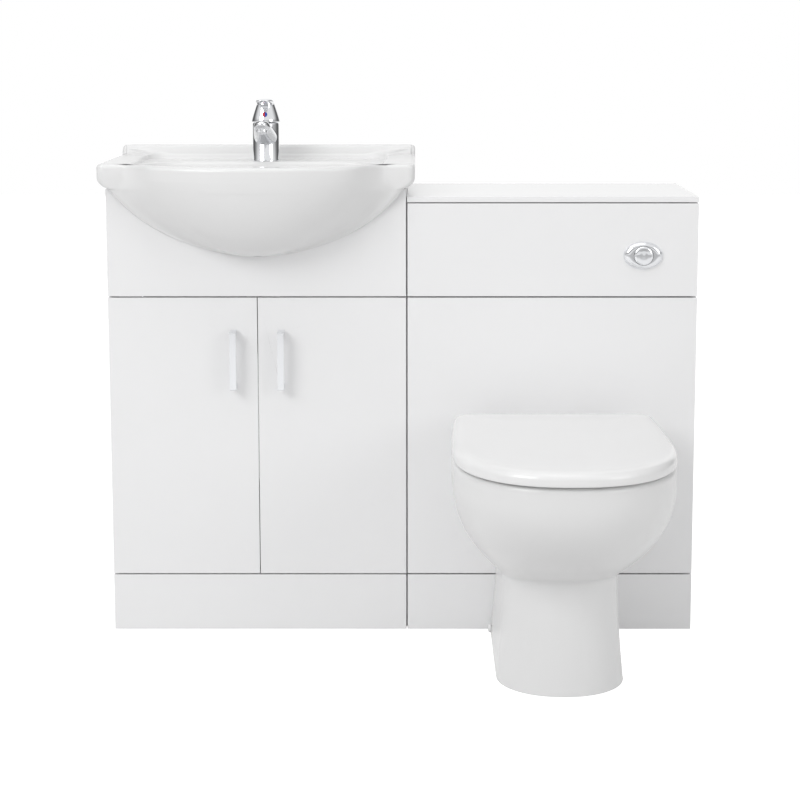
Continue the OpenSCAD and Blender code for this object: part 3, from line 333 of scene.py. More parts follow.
UNIT_D, VANITY_H, RIM_H, APRON_OUT, SHOULDER_OUT = 300.0, 778.0, 43.0, 126.0, 24.0
BASIN_HALF, APRON_DROP, LEDGE_DROP, UPSTAND = 270.5, 115.0, 9.0, 16.0
RIM_Z = VANITY_H + RIM_H
LEDGE_Z = RIM_Z - LEDGE_DROP
CUT_W, CUT_Z, CUT_DROP, BODY_HALF = 262.0, VANITY_H + 35, APRON_DROP + 38, 237.0
BOWL_Z = VANITY_H - APRON_DROP + 23
CUT_POWER, SKIRT_STEP = 1.75, 0.6
LEDGE_FRONT, WASTE_Q, WASTE_R = 118.0, 215.0, 21.0
BASIN_MM = BASIN_X * 1000
BOW_A, BOW_JOIN, BOW_END = 198.0, 170.0, 226.0
RIM_EDGE, RIM_CORNER = 7, 8
BODY_LOW, BODY_HIGH = 0.965, 0.25
LOW_RING_R, LOW_RING_Q = 12, UNIT_D + 1.5
RECESS_HALF, RECESS_SIDE, RECESS_OUT, RECESS_CORNER = 221, UNIT_D - 30, UNIT_D + 88, 42
RECESS_GROW, RECESS_BACK = (1, -4), (23, 28)
BOWL_HALF, BOWL_SIDE, BOWL_OUT, BOWL_CORNER = 213, UNIT_D - 20, UNIT_D + 80, 75
BOWL_POWER = 2.3


def bow(d, join=BOW_JOIN, end=BOW_END):
    """Plan of the bow front: 1 in the middle, an ellipse as far as join, then a smooth run-out to end."""
    a = BOW_A
    u = abs(d)
    edge = fall(join / a, 2)
    slope = -join / (a * a * edge)
    if u <= join:
        return fall(u / a, 2)
    if u >= end:
        return 0.0
    span = end - join
    t = (u - join) / span
    return (2 * t**3 - 3 * t**2 + 1) * edge + (t**3 - 2 * t**2 + t) * span * slope


def corner_pull(d, half, r):
    """How far a round corner pulls an edge back at a distance from the middle."""
    over = abs(d) - (half - r)
    return 0.0 if over <= 0 else r - math.sqrt(max(0.0, r * r - over * over))


BACK_N, SIDE_N, FRONT_N = 90, 26, 220


def plan(half, half_back, back, shoulder, tip, r_back, r_front, scale, power,
         run_out=(BOW_JOIN, BOW_END)):
    """A closed plan. A power of 0 gives the bow front."""
    q0, q1 = back + r_back, shoulder - r_front
    backs = [half_back * cosd(180 * i / BACK_N) for i in range(BACK_N + 1)]
    ring = [[d, back + corner_pull(d, half_back, r_back)] for d in backs]
    sides = [ease(i / SIDE_N) * 0.997 for i in range(1, SIDE_N + 1)]
    ring += [[-half_back, mix(q0, q1, f)] for f in sides]
    for i in range(FRONT_N + 1):
        d = -half * cosd(180 * i / FRONT_N)
        swell = fall(min(1.0, abs(d) / half), power) if power > 0 else bow(d / scale, *run_out)
        ring.append([d, mix(shoulder, tip, swell) - corner_pull(d, half, r_front)])
    ring += [[half_back, mix(q0, q1, f)] for f in reversed(sides)]
    return ring


def rim_plan(inset, back, r_back):
    return plan(BASIN_HALF - inset, BASIN_HALF - inset, back, UNIT_D + SHOULDER_OUT - inset,
                UNIT_D + APRON_OUT - inset, r_back, max(4.0, 12 - inset), 1, 0)


def recess_plan(grow, back):
    half = RECESS_HALF + grow
    return plan(half, half, back, RECESS_SIDE, RECESS_OUT + grow, RECESS_CORNER, 1, 1, BOWL_POWER)


def bowl_plan(inset):
    half = BOWL_HALF - inset
    return plan(half, half, LEDGE_FRONT + inset, BOWL_SIDE, BOWL_OUT - inset, BOWL_CORNER, 1, 1, BOWL_POWER)


def apron_at(z):
    """Shares of the apron's width and reach left at a height, and the lip at its ends."""
    deep = max(0.0, CUT_Z - z) / CUT_DROP
    s = fall(deep, CUT_POWER)
    return s, fall(deep, 2), 2 + (SHOULDER_OUT - 2) * s**4


def soft_end(z):
    """Under the rim the bow runs out more softly than along its top."""
    t = ease((RIM_Z - 10 - z) / 40)
    return mix(BOW_JOIN, 155.0, t), mix(BOW_END, 250.0, t)


def skirt_plan(inset, back, z):
    s, reach, lip = apron_at(z)
    half = BASIN_HALF - inset
    return plan(half, half, back, UNIT_D + lip + SKIRT_STEP, UNIT_D + APRON_OUT * reach + SKIRT_STEP,
                8, 12, s, 0, soft_end(z))


def body_plan(z):
    s, reach, lip = apron_at(z)
    s_back = fall((CUT_Z - z) / (CUT_DROP - 3), CUT_POWER)
    return plan(CUT_W * s, BODY_HALF * s_back, 165 - 59 * s, UNIT_D + lip, UNIT_D + APRON_OUT * reach,
                30 * s_back, min(12, lip - 1), s, 0, soft_end(z))


def upstand(q):
    return UPSTAND * (1 - ease((q - 18) / 8))


def at_level(ring, z):
    return [[x, q, z] for x, q in ring]


def crowned(ring, z):
    return [[x, q, z + upstand(q)] for x, q in ring]


def bowl_ring(f):
    """From the waste, f = 0, to the mouth of the bowl, f = 1."""
    ring = []
    for x, q in bowl_plan(6):
        vx, vy = x, q - WASTE_Q
        length = math.hypot(vx, vy)
        wx, wy = vx * WASTE_R / length, vy * WASTE_R / length
        ring.append([wx + (vx - wx) * f, WASTE_Q + wy + (vy - wy) * f,
                     BOWL_Z + (LEDGE_Z - 8 - BOWL_Z) * (1 - fall(f, 2.2))])
    return ring


# Rounded lower edge of the rim: inset, back, height over the cabinet
SKIRT_LEVELS = [(19.5, 4, 0), (11, 2, 3.5), (5.5, 0.6, 8), (1.6, 0, 13), (0, 0, 18)]


# The boss round the waste, under the bowl: radius and height
WASTE_BOSS = [(23, 651.2), (38, 651.2), (39, 652.4), (39, 681)]
WASTE_DEPTH = 26


def recess_floor(q):
    """The ledge behind, rising to just under the rim in front."""
    return mix(LEDGE_Z, RIM_Z - 2, ease((q - 110) / 80))


def body_rings():
    """From the underside of the basin's body up to the cabinet."""
    low = CUT_Z - BODY_LOW * CUT_DROP
    ring = []
    for x, q in body_plan(low):
        vx, vy = x, q - LOW_RING_Q
        length = math.hypot(vx, vy)
        ring.append([vx * LOW_RING_R / length, LOW_RING_Q + vy * LOW_RING_R / length, low])
    rings = [ring]
    steps = 34
    for i in range(steps + 1):
        k = mix(BODY_LOW, BODY_HIGH, 1 - cosd(90 * i / steps))
        z = CUT_Z - k * CUT_DROP
        rings.append(at_level(body_plan(z), z))
    steps = 4
    for i in range(1, steps + 1):
        z = mix(CUT_Z - BODY_HIGH * CUT_DROP, VANITY_H, i / steps)
        rings.append(at_level(body_plan(z), z))
    return rings


def rim_rings():
    """The rim's rounded lower edge, its rounded upper edge and its flat top."""
    rings = []
    for inset, back, up in between(SKIRT_LEVELS, 4):
        rings.append(at_level(skirt_plan(inset, back, VANITY_H + up), VANITY_H + up))
    steps = 8
    for i in range(steps + 1):
        a = 90 * i / steps
        inset = RIM_EDGE * (1 - cosd(a))
        rings.append(crowned(rim_plan(inset, inset, RIM_CORNER), RIM_Z - RIM_EDGE * (1 - sind(a))))
    for back in (10, 14, 17, 19, 20.5, 22):
        inner = back - RIM_EDGE
        rings.append(crowned(rim_plan(RIM_EDGE + inner * 0.04, back, RIM_CORNER - inner * 0.25), RIM_Z))
    return rings


def recess_rings():
    """From the rim down into the recess and over its floor to the mouth of the bowl."""
    rings = []
    steps = 8
    for i in range(steps + 1):
        t = i / steps
        ring = recess_plan(mix(*RECESS_GROW, t), mix(*RECESS_BACK, t))
        rings.append([[x, q, mix(RIM_Z, recess_floor(q), ease(t))] for x, q in ring])
    edge = recess_plan(RECESS_GROW[1], RECESS_BACK[1])
    steps = 6
    for i in range(1, steps):
        t = i / steps
        rings.append([[mix(x0, x1, t), mix(q0, q1, t), mix(recess_floor(q0), LEDGE_Z, ease(t))]
                      for (x0, q0), (x1, q1) in zip(edge, bowl_plan(0))])
    return rings


def bowl_rings():
    """From the bowl's rounded mouth down to the waste, and down the hole for it."""
    rings = []
    for inset, down in ((0, 0), (0.6, 0.5), (2, 2), (4, 4.8)):
        rings.append(at_level(bowl_plan(inset), LEDGE_Z - down))
    steps = 40
    for i in range(steps + 1):
        rings.append(bowl_ring(sind(90 * (1 - i / steps)) * 0.999))
    rings.append([[x, q, BOWL_Z - WASTE_DEPTH] for x, q, z in bowl_ring(0)])
    return rings


def build_basin():
    skin = body_rings() + rim_rings() + recess_rings() + bowl_rings()
    rings = [[[BASIN_MM + x, -q, z] for x, q, z in ring] for ring in skin]
    shell = loft(rings, cap_first=True, cap_last=False)
    turned = tube_profile(WASTE_BOSS, (BASIN_MM, -WASTE_Q, 0))
    boss = loft(turned, cap_first=False, cap_last=False)
    return mesh_object("basin_ware", *joined([shell, boss]), smooth_angle=50)


# ---- Pan ----
# In a plan, p is the distance in front of the cabinet.

PAN_H, PAN_HALF, PAN_OUT, FOOT_W, FOOT_OUT = 373.0, 177.0, 500.0, 209.0, 350.0
PAN_MM = PAN_X * 1000
FRONT_MM = FRONT * 1000
CORNER_N, EDGE_N, NOSE_N = 12, 26, 160
BOWL_TOP, BOWL_TALL, SKIN_BLEND = PAN_H - 28, 168.0, 58.0
FOOT_TALL, DIP, DIP_Z = 170, 45, 180
RIM_BACK, RIM_DEPTH, RIM_POWER = 0.9, 1.25, 2.35
MOUTH_BACK, MOUTH_DEPTH, MOUTH_CORNER, MOUTH_POWER = 0.93, 1.1, 0.75, 2.1
SOIL_Z = 185


def pan_plan(half, half_back, back, tip, depth, r, power, swell=ease):
    """A closed plan with round corners behind. depth is the length of the rounded front."""
    side = tip - depth
    ring = []
    for i in range(CORNER_N + 1):
        a = 90 * i / CORNER_N
        ring.append([half_back - r + r * cosd(a), back + r - r * sind(a)])
    for i in range(CORNER_N + 1):
        a = 90 * i / CORNER_N
        ring.append([-half_back + r - r * sind(a), back + r - r * cosd(a)])
    edge = [i / EDGE_N for i in range(1, EDGE_N)]
    ring += [[-mix(half_back, half, swell(f)), mix(back + r, side, f)] for f in edge]
    for i in range(NOSE_N + 1):
        c = -cosd(180 * i / NOSE_N)
        ring.append([half * c, side + depth * fall(abs(c), power)])
    ring += [[mix(half_back, half, swell(f)), mix(back + r, side, f)] for f in reversed(edge)]
    return ring


def placed(ring, z):
    return [[PAN_MM + x, FRONT_MM - p, z] for x, p in ring]


def smooth_max(a, b, blend):
    """The larger of two sizes, with a rounded change from one to the other."""
    h = max(0.0, 1 - abs(a - b) / blend)
    return max(a, b) + h * h * blend / 4


def skin_ring(z):
    """Pedestal and bowl as one skin, dipping towards the cabinet."""
    u = 1 - min(z, FOOT_TALL) / FOOT_TALL
    pedestal = FOOT_W / 2 - 1 - 9.4 * (1 - u**1.6)
    pedestal_tip = FOOT_OUT + 1 - 27 * (1 - u**1.5)
    s = fall(min(1.0, max(0.0, BOWL_TOP - z) / BOWL_TALL), 2.1)
    half = smooth_max(pedestal, PAN_HALF * s, SKIN_BLEND)
    half_back = smooth_max(pedestal, PAN_HALF * RIM_BACK * s, SKIN_BLEND)
    tip = smooth_max(pedestal_tip, 228 + (PAN_OUT - 228) * s, SKIN_BLEND)
    dip = DIP * (z / DIP_Z if z < DIP_Z else ease((BOWL_TOP - z) / (BOWL_TOP - DIP_Z)))
    depth, power = half * mix(0.99, RIM_DEPTH, s), mix(2.12, RIM_POWER, s)
    return [[PAN_MM + x, FRONT_MM - p, z - dip * (1 - p / 330)]
            for x, p in pan_plan(half, half_back, 1, tip, depth, 5, power)]


def rim_ring(inset, z):
    half = PAN_HALF - inset
    return placed(pan_plan(half, half * RIM_BACK, 1 + inset * 0.6, PAN_OUT - inset, half * RIM_DEPTH, 6,
                           RIM_POWER), z)


def inside_ring(z, half, back, tip):
    return placed(pan_plan(half, half * MOUTH_BACK, back, tip, half * MOUTH_DEPTH, half * MOUTH_CORNER,
                           MOUTH_POWER), z)


# Inside of the bowl, from its mouth down: height, half-width, back, tip
INSIDE = [
    (PAN_H - 3, 136, 102, 456), (PAN_H - 8, 134, 104, 454), (330, 131, 105, 448),
    (285, 121, 108, 427), (240, 101, 114, 384), (200, 74, 122, 322), (170, 56, 130, 276),
    (156, 48, 138, 256), (150, 38, 150, 240),
]


# The spigot for the soil connector: radius and place along its axis
SPIGOT = [(43, 0), (43, 40), (51, 40), (51, 0), (51, -22)]
SPIGOT_Y = FRONT_MM + 20


def build_pan():
    """One skin up the outside, over the rim and down into the bowl, and the spigot behind it."""
    levels = [0, 2, 8, 20, 40, 65, 90, 115, 135, 150]
    levels += [156 + 3 * i for i in range(28)]
    levels += [240 + 7.5 * i for i in range(15)]
    rings = [skin_ring(z) for z in levels]
    rings.append(rim_ring(0, PAN_H - 14))
    steps = 8
    for i in range(steps + 1):
        a = 90 * i / steps
        rings.append(rim_ring(8 * (1 - cosd(a)), PAN_H - 9 * (1 - sind(a))))
    rings.append(inside_ring(PAN_H, 143, 95, 463))
    rings.append(inside_ring(PAN_H - 0.6, 140, 98, 460))
    rings += [inside_ring(*level) for level in between(INSIDE, 6)]
    ware = loft(rings)
    turned = tube_profile(SPIGOT, (PAN_MM, SPIGOT_Y, SOIL_Z), axis="y")
    spigot = loft(turned, cap_first=False, cap_last=False)
    return mesh_object("pan_ware", *joined([ware, spigot]), smooth_angle=50)


# ---- Seat lid ----

SEAT_Z = PAN_H + 3
SEAT_BACK, SEAT_TIP = 42.0, PAN_OUT + 6
SEAT_HALF_BACK, SEAT_DEPTH, SEAT_CORNER = 170, 225, 32
HINGE_X, HINGE_P, HINGE_Z = 78, 45, 384


def seat_plan(inset):
    return pan_plan(PAN_HALF - inset, SEAT_HALF_BACK - inset, SEAT_BACK + inset, SEAT_TIP - inset,
                    SEAT_DEPTH - inset, max(8, SEAT_CORNER - inset), RIM_POWER,
                    swell=lambda f: sind(90 * f))


# Inset and height over the underside
LID_OUTSIDE = [
    (4.0, 0.6), (2.2, 0.15), (0.8, 0.1), (0.2, 0.8), (0, 2), (0, 9), (0.35, 11.2), (0.9, 13), (1.8, 14.9),
    (3, 16.6), (4.5, 18.1), (6.4, 19.4), (8.7, 20.4), (11.5, 21.2), (15, 21.8), (20, 22.3), (30, 22.7),
    (50, 23.1), (75, 23.4), (90, 23.5),
]
LID_INSIDE = [(60, 18), (16, 18), (10, 17.6), (7, 17), (5, 15.8), (4, 14), (4, 1)]
NOTCH_HALF, NOTCH_BACK, NOTCH_FRONT = 22, 38, 55
KNUCKLE_X0, KNUCKLE_X1, KNUCKLE_R, PIN_HOLE_R = 60.3, 71.7, 7.0, 4.05


def box(low, high):
    points = [[(low[0], high[0])[i], (low[1], high[1])[j], (low[2], high[2])[k]]
              for i in (0, 1) for j in (0, 1) for k in (0, 1)]
    return points, [(0, 1, 3, 2), (4, 6, 7, 5), (0, 4, 5, 1), (2, 3, 7, 6), (0, 2, 6, 4), (1, 5, 7, 3)]


def subtract(obj, tool):
    """Takes a skin away from a shape."""
    cutter = mesh_object("cutter", *tool)
    mod = obj.modifiers.new("cut", "BOOLEAN")
    mod.operation = "DIFFERENCE"
    mod.solver = "EXACT"
    mod.object = cutter
    depsgraph = bpy.context.evaluated_depsgraph_get()
    mesh = bpy.data.meshes.new_from_object(obj.evaluated_get(depsgraph))
    obj.modifiers.remove(mod)
    obj.data = mesh
    bpy.data.objects.remove(cutter)


def knuckles(x0, x1):
    """Round the hinge pins, from x0 to x1 on both sides of the middle."""
    parts = []
    for side in (-1, 1):
        a, b = sorted((side * x0, side * x1))
        profile = [(PIN_HOLE_R, a), (KNUCKLE_R - 0.5, a), (KNUCKLE_R, a + 0.5),
                   (KNUCKLE_R, b - 0.5), (KNUCKLE_R - 0.5, b), (PIN_HOLE_R, b)]
        rings = tube_profile(profile, (PAN_MM, FRONT_MM - HINGE_P, HINGE_Z), axis="x", steps=48)
        parts.append(loft(rings, closed=True))
    return parts


def blocks(x0, x1, p0, p1, z0, z1):
    """A box on both sides of the middle."""
    parts = []
    for side in (-1, 1):
        a, b = sorted((PAN_MM + side * x0, PAN_MM + side * x1))
        parts.append(box((a, FRONT_MM - p1, z0), (b, FRONT_MM - p0, z1)))
    return parts


def build_lid():
    """The shell, and the knuckles that hold it to the hinge pins."""
    rings = [placed(seat_plan(inset), SEAT_Z + z) for inset, z in LID_INSIDE + LID_OUTSIDE]
    shell = mesh_object("lid_shell", *loft(rings))
    for notch in blocks(HINGE_X - NOTCH_HALF, HINGE_X + NOTCH_HALF, NOTCH_BACK, NOTCH_FRONT,
                        SEAT_Z - 1, HINGE_Z + 7.6):
        subtract(shell, notch)
    shell.data.set_sharp_from_angle(angle=math.radians(50))
    x0, x1, top = KNUCKLE_X0, KNUCKLE_X1, SEAT_Z + 19
    parts = knuckles(x0, x1)
    parts += blocks(x0, x1, HINGE_P + 4.2, HINGE_P + 7, HINGE_Z + 4, top)
    parts += blocks(x0, x1, HINGE_P - 4, HINGE_P + 5, HINGE_Z + 6.4, top)
    return shell, mesh_object("lid_knuckles", *joined(parts), smooth_angle=40)


# ---- Tap ----

TAP_H, TAP_Y = 70.0, 84.0
SPOUT_OUT, LEVER_OUT = 104, 64
LEVER_R, LEVER_H, LEVER_SKIRT = 25.2, 41, TAP_H + 0.7
LIFT_CLEAR = 22
TURN_STEPS = 128


def at_tap(ring):
    return [[BASIN_MM + x, -TAP_Y + y, LEDGE_Z + z] for x, y, z in ring]


def section(r, z, w, h, power, n=96):
    """Across the spout or the lever, at a distance r from the tap's axis."""
    ring = []
    for i in range(n):
        c, s = cosd(360 * i / n), sind(360 * i / n)
        ring.append([w / 2 * math.copysign(abs(c) ** (2 / power), c), -r,
                     z + h / 2 * math.copysign(abs(s) ** (2 / power), s)])
    return ring


def spout_ring(t):
    end = max(0.03, fall(max(0.0, (t - 0.8) / 0.2), 2.2))
    return at_tap(section(mix(6, SPOUT_OUT, t), mix(42, 69, t), mix(43, 27, t) * end,
                          mix(36, 23, t) * end, 2.2))


def blade_ring(t):
    end = fall(max(0.0, (t - 0.85) / 0.15), 2)
    return at_tap(section(mix(2, LEVER_OUT, t), mix(32, 40, t) + TAP_H, mix(30, 25, t) * max(0.3, end),
                          mix(14, 6, ease(t * 2)) * max(0.2, end), 3))


def tip_steps(start, n):
    """0 to start evenly, then closer and closer together."""
    evenly = [start * i / n for i in range(n)]
    return evenly + [start + (1 - start) * sind(90 * i / n) for i in range(n + 1)]


# Radius and height over the ledge, up the outside and down into the cartridge's seat
TAP_PROFILE = [
    (0.1, 0), (24.8, 0), (24.8, 1.4), (24.4, 2.3), (24, 3), (24, TAP_H - 4), (23.6, TAP_H - 2.4),
    (22.8, TAP_H - 1), (22.0, 69.7), (21.2, TAP_H), (17.7, TAP_H), (17.7, TAP_H - 10),
]


def build_tap_body():
    turned = tube_profile(TAP_PROFILE, (BASIN_MM, -TAP_Y, LEDGE_Z), steps=TURN_STEPS)
    body = loft(turned, cap_first=False, cap_last=False)
    spout = loft([spout_ring(t) for t in tip_steps(0.8, 24)])
    return mesh_object("tap_casting", *joined([body, spout]), smooth_angle=40)


# Radius and height over the skirt: the rolled edge, then the outside from EDGE_POINTS on
LEVER_PROFILE = [
    (20.0, 2.0), (24.4, 0.15), (25.2, 0), (25.45, 0.4), (25.5, 1), (24.6, 5), (23.7, 8.4), (22.6, 12),
    (21.4, 15.8), (20, 20), (18.6, 24), (17.2, 28), (15.9, 31.6), (14.6, 35), (13.7, 37), (12.6, 38.6),
    (11, 39.7), (9, 40.4), (6.5, 40.85), (4, LEVER_H), (0.1, LEVER_H),
]
EDGE_POINTS, CROWN_Z = 4, 40


def lever_radius(height):
    """Radius of the lever's outside at a height."""
    outside = LEVER_PROFILE[EDGE_POINTS:]
    for (r0, z0), (r1, z1) in zip(outside, outside[1:]):
        if height <= z1:
            return mix(r0, r1, max(0.0, (height - z0) / (z1 - z0)))
    return outside[-1][0]


def lever_ring(r, z):
    """Behind, the skirt is cut away at a slope, so that the lever clears the body when it is lifted."""
    ring = []
    for i in range(TURN_STEPS):
        a = 360 * i / TURN_STEPS
        low = max(0.0, LEVER_R * sind(a) * math.tan(math.radians(LIFT_CLEAR)))
        up = low + z * (1 - low / LEVER_H)
        reach = r if z > CROWN_Z else r + lever_radius(up) - lever_radius(z)
        ring.append([reach * cosd(a), reach * sind(a), LEVER_SKIRT + up])
    return at_tap(ring)


def build_lever():
    dome = loft([lever_ring(r, z) for r, z in LEVER_PROFILE], cap_first=False, cap_last=False)
    blade = loft([blade_ring(t) for t in tip_steps(0.85, 20)])
    return mesh_object("lever_casting", *joined([dome, blade]), smooth_angle=40)


# ---- Flush plate ----

BUTTON_X, BUTTON_Z, BUTTON_HOLE_R = 413.5, 663.0, 16.9
PLATE_HALF_W, PLATE_HALF_H, PLATE_THICK = 34, 24, 8


def oval(scale, y, n=160):
    w, h = PLATE_HALF_W * scale, PLATE_HALF_H * scale
    return [[BUTTON_X + w * cosd(360 * i / n), y, BUTTON_Z + h * sind(360 * i / n)] for i in range(n)]


def build_flush_plate():
    steps = [0, 0.02, 0.05, 0.1, 0.18, 0.28, 0.4, 0.5, 0.6, 0.7, 0.8, 0.88, 0.95, 1]
    rings = [oval(mix(1, 0.6, t), FRONT_MM - PLATE_THICK * sind(90 * fall(1 - t, 1.4))) for t in steps]
    plate = mesh_object("plate_dome", *loft(rings))
    bore = [(BUTTON_HOLE_R, -PLATE_THICK - 1), (BUTTON_HOLE_R, 2)]
    subtract(plate, loft(tube_profile(bore, (BUTTON_X, FRONT_MM, BUTTON_Z), axis="y")))
    plate.data.set_sharp_from_angle(angle=math.radians(40))
    return plate


# ---- The pieces in place of the CAD's faceted ones ----

stand_in(build_basin(), "basin", "unit", glaze)
stand_in(build_pan(), "pan", "unit", glaze)
for lid_part in build_lid():
    stand_in(lid_part, "seat_lid", "lid", seat_white)
stand_in(build_tap_body(), "tap_body", "unit", chrome)
stand_in(build_lever(), "tap_lever", "lever", chrome)
stand_in(build_flush_plate(), "flush_plate", "unit", chrome)

BOARDS = [n for n, s in SLOT_OF.items() if s == "gloss_board"]
BOARD_EDGE = 0.0006
ROUNDED = {
    "handle_left": 0.0011, "handle_right": 0.0011, "flush_button": 0.0004, "seat_hinge_posts": 0.0006,
    "cistern_tank": 0.001, "cistern_cover": 0.001, "wall_brackets": 0.0004, "hinge_arms": 0.0003,
}
for name, obj in NODES.items():
    if obj.hide_render:
        continue
    weld = obj.modifiers.new("weld", "WELD")
    weld.merge_threshold = 2e-6
    if name in BOARDS:
        bevel(obj, BOARD_EDGE)
    elif name in ROUNDED:
        bevel(obj, ROUNDED[name])
    obj.data.shade_smooth()
    obj.modifiers.new("shade", "WEIGHTED_NORMAL").keep_sharp = True


# ---- Room, light and camera ----


def studio_world():
    """White to the camera and softly lit. Metal mirrors it with dark sides and a dark horizon."""
    world = bpy.data.worlds.new("room")
    bpy.context.scene.world = world
    world.use_nodes = True
    nt = world.node_tree
    nt.nodes.clear()
    out = nt.nodes.new("ShaderNodeOutputWorld")
    path = nt.nodes.new("ShaderNodeLightPath")

    def background(strength):
        node = nt.nodes.new("ShaderNodeBackground")
        node.inputs["Color"].default_value = (1, 1, 1, 1)
        node.inputs["Strength"].default_value = strength
        return node

    def tones(source, reach, stops):
        """A grey for each value from -reach to reach."""
        ramp = nt.nodes.new("ShaderNodeValToRGB")
        for position, tone in stops[1:-1]:
            ramp.color_ramp.elements.new(position)
        for element, (position, tone) in zip(ramp.color_ramp.elements, stops):
            element.position = position
            element.color = (tone, tone, tone, 1)
        nt.links.new(ranged(nt, source, -reach, reach), ramp.inputs["Fac"])
        return ramp.outputs["Color"]

    x, y, z = (place(nt, "Generated", axis) for axis in "XYZ")
    turn = maths(nt, "ARCTAN2", x, maths(nt, "MULTIPLY", y, -1.0))
    around = tones(turn, math.pi, [
        (0.0, 1.0), (0.075, 1.0), (0.10, 0.12), (0.17, 0.15), (0.22, 0.5), (0.29, 0.9),
        (0.71, 0.9), (0.78, 0.5), (0.83, 0.15), (0.90, 0.12), (0.925, 1.0), (1.0, 1.0),
    ])
    upward = tones(z, 1.0, [
        (0.0, 1.0), (0.512, 1.0), (0.53, 0.55), (0.60, 0.55), (0.68, 1.0), (1.0, 1.0),
    ])
    behind = ranged(nt, y, 0.2, 0.6)
    seen, light, mirrored = background(1.0), background(0.6), background(1.0)
    bright = maths(nt, "MULTIPLY", around, maths(nt, "MAXIMUM", upward, behind))
    nt.links.new(bright, mirrored.inputs["Strength"])
    sharp = maths(nt, "MAXIMUM", path.outputs["Is Glossy Ray"], path.outputs["Is Transmission Ray"])
    lit = blended(nt, sharp, light.outputs["Background"], mirrored.outputs["Background"])
    shown = blended(nt, path.outputs["Is Camera Ray"], lit, seen.outputs["Background"])
    nt.links.new(shown, out.inputs["Surface"])


studio_world()


def white_floor():
    """Pale and matt. The camera sees it raised to white, with only the object's shadow left. Metal mirrors
    it white near the object and grey farther off."""
    m, nt, s = new_material("floor")
    s.inputs["Base Color"].default_value = (0.75, 0.75, 0.75, 1)
    s.inputs["Roughness"].default_value = 0.7
    s.inputs["Specular IOR Level"].default_value = 0.2
    glow = nt.nodes.new("ShaderNodeEmission")
    glow.inputs["Color"].default_value = (1, 1, 1, 1)
    path = nt.nodes.new("ShaderNodeLightPath")
    sharp = maths(nt, "MAXIMUM", path.outputs["Is Glossy Ray"], path.outputs["Is Transmission Ray"])
    near = ranged(nt, place(nt, "Object", "Y"), -4.6, -3.6, 0.1, 0.35)
    seen = maths(nt, "MAXIMUM", maths(nt, "MULTIPLY", sharp, near), path.outputs["Is Camera Ray"])
    nt.links.new(maths(nt, "MULTIPLY", seen, 0.75), glow.inputs["Strength"])
    add = nt.nodes.new("ShaderNodeAddShader")
    nt.links.new(s.outputs["BSDF"], add.inputs[0])
    nt.links.new(glow.outputs["Emission"], add.inputs[1])
    nt.links.new(add.outputs["Shader"], nt.nodes["Material Output"].inputs["Surface"])
    return m


def wall_with_painted_shade():
    """Painted shade: a dark sheet standing for the wall in shadow behind the unit, its darkness painted
    into its colour. Dark to the camera from the front, where it shows through the gaps, and not there from
    behind.
    """
    m, nt, s = new_material("wall")
    # The dark base colour is painted shade, not a colour the wall has.
    s.inputs["Base Color"].default_value = (0.16, 0.16, 0.16, 1)
    s.inputs["Roughness"].default_value = 0.9
    clear = nt.nodes.new("ShaderNodeBsdfTransparent")
    path, side = nt.nodes.new("ShaderNodeLightPath"), nt.nodes.new("ShaderNodeNewGeometry")
    shown = maths(nt, "SUBTRACT", path.outputs["Is Camera Ray"], side.outputs["Backfacing"])
    shader = blended(nt, maths(nt, "MAXIMUM", shown, 0.0), clear.outputs["BSDF"], s.outputs["BSDF"])
    nt.links.new(shader, nt.nodes["Material Output"].inputs["Surface"])
    return m


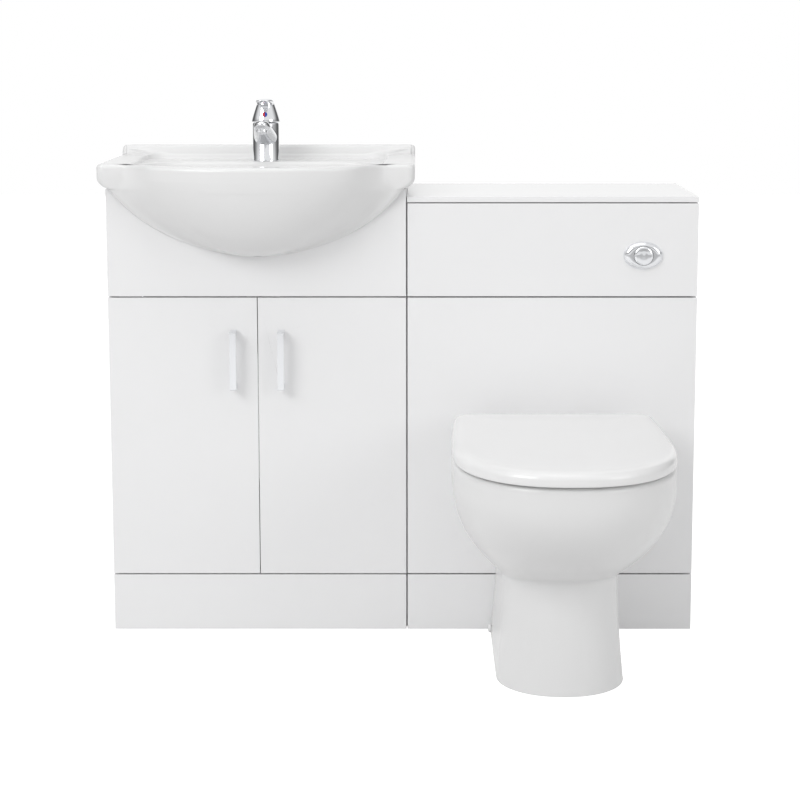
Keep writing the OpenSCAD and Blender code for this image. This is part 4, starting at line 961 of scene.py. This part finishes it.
def backdrop(name, corners, material):
    mesh = bpy.data.meshes.new(name)
    mesh.from_pydata(corners, [], [(0, 1, 2, 3)])
    obj = bpy.data.objects.new(name, mesh)
    bpy.context.scene.collection.objects.link(obj)
    paint(obj, material)
    obj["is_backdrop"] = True


FLOOR_R, FLOOR_Z = 9, -0.0005
WALL_X0, WALL_X1, WALL_Y, WALL_Z0, WALL_Z1 = -0.49, -0.01, 0.001, 0.004, 0.75
FLOOR_CORNERS = [
    (-FLOOR_R, -FLOOR_R, FLOOR_Z), (FLOOR_R, -FLOOR_R, FLOOR_Z),
    (FLOOR_R, FLOOR_R, FLOOR_Z), (-FLOOR_R, FLOOR_R, FLOOR_Z),
]
WALL_CORNERS = [
    (WALL_X0, WALL_Y, WALL_Z0), (WALL_X1, WALL_Y, WALL_Z0),
    (WALL_X1, WALL_Y, WALL_Z1), (WALL_X0, WALL_Y, WALL_Z1),
]
backdrop("floor", FLOOR_CORNERS, white_floor())
# The wall patch behind the vanity carries painted shade, so that the door gaps look dark.
backdrop("wall", WALL_CORNERS, wall_with_painted_shade())


def area_light(name, at, towards, size, power):
    data = bpy.data.lights.new(name, "AREA")
    data.shape = "RECTANGLE"
    data.size, data.size_y = size
    data.energy = power
    obj = bpy.data.objects.new(name, data)
    bpy.context.scene.collection.objects.link(obj)
    obj.location = at
    obj.rotation_euler = (Vector(towards) - Vector(at)).to_track_quat("-Z", "Y").to_euler()


area_light("key", (-2.4, -3.2, 2.7), (0, -0.3, 0.45), (2.0, 1.8), 55)
area_light("fill", (2.8, -2.8, 1.7), (0, -0.3, 0.5), (1.6, 1.6), 17)
area_light("top", (-0.3, -0.9, 3.0), (0, -0.3, 0.5), (2.4, 1.4), 12)


PICTURE_PX = 800


def camera():
    """Fitted to the photograph. Its principal point lies above the picture, so it tilts a little."""
    f_px, center_x_px, tilt, shift_y = 1893.19, 417.76, 0.1392, -0.12
    data = bpy.data.cameras.new("camera")
    data.sensor_width = 36.0
    data.lens = f_px * data.sensor_width / PICTURE_PX
    data.shift_x = -(center_x_px - PICTURE_PX / 2) / PICTURE_PX
    data.shift_y = shift_y
    data.dof.use_dof = False
    data.clip_start, data.clip_end = 0.05, 60
    obj = bpy.data.objects.new("camera", data)
    bpy.context.scene.collection.objects.link(obj)
    obj.location = (0.0264, -3.5296, 1.0314)
    obj.rotation_euler = (math.radians(90) - tilt, 0, 0)
    bpy.context.scene.camera = obj


camera()
scene = bpy.context.scene
scene.view_settings.view_transform = "Standard"
scene.render.resolution_x = PICTURE_PX
scene.render.resolution_y = PICTURE_PX

sizes["visual"] = plain(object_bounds())
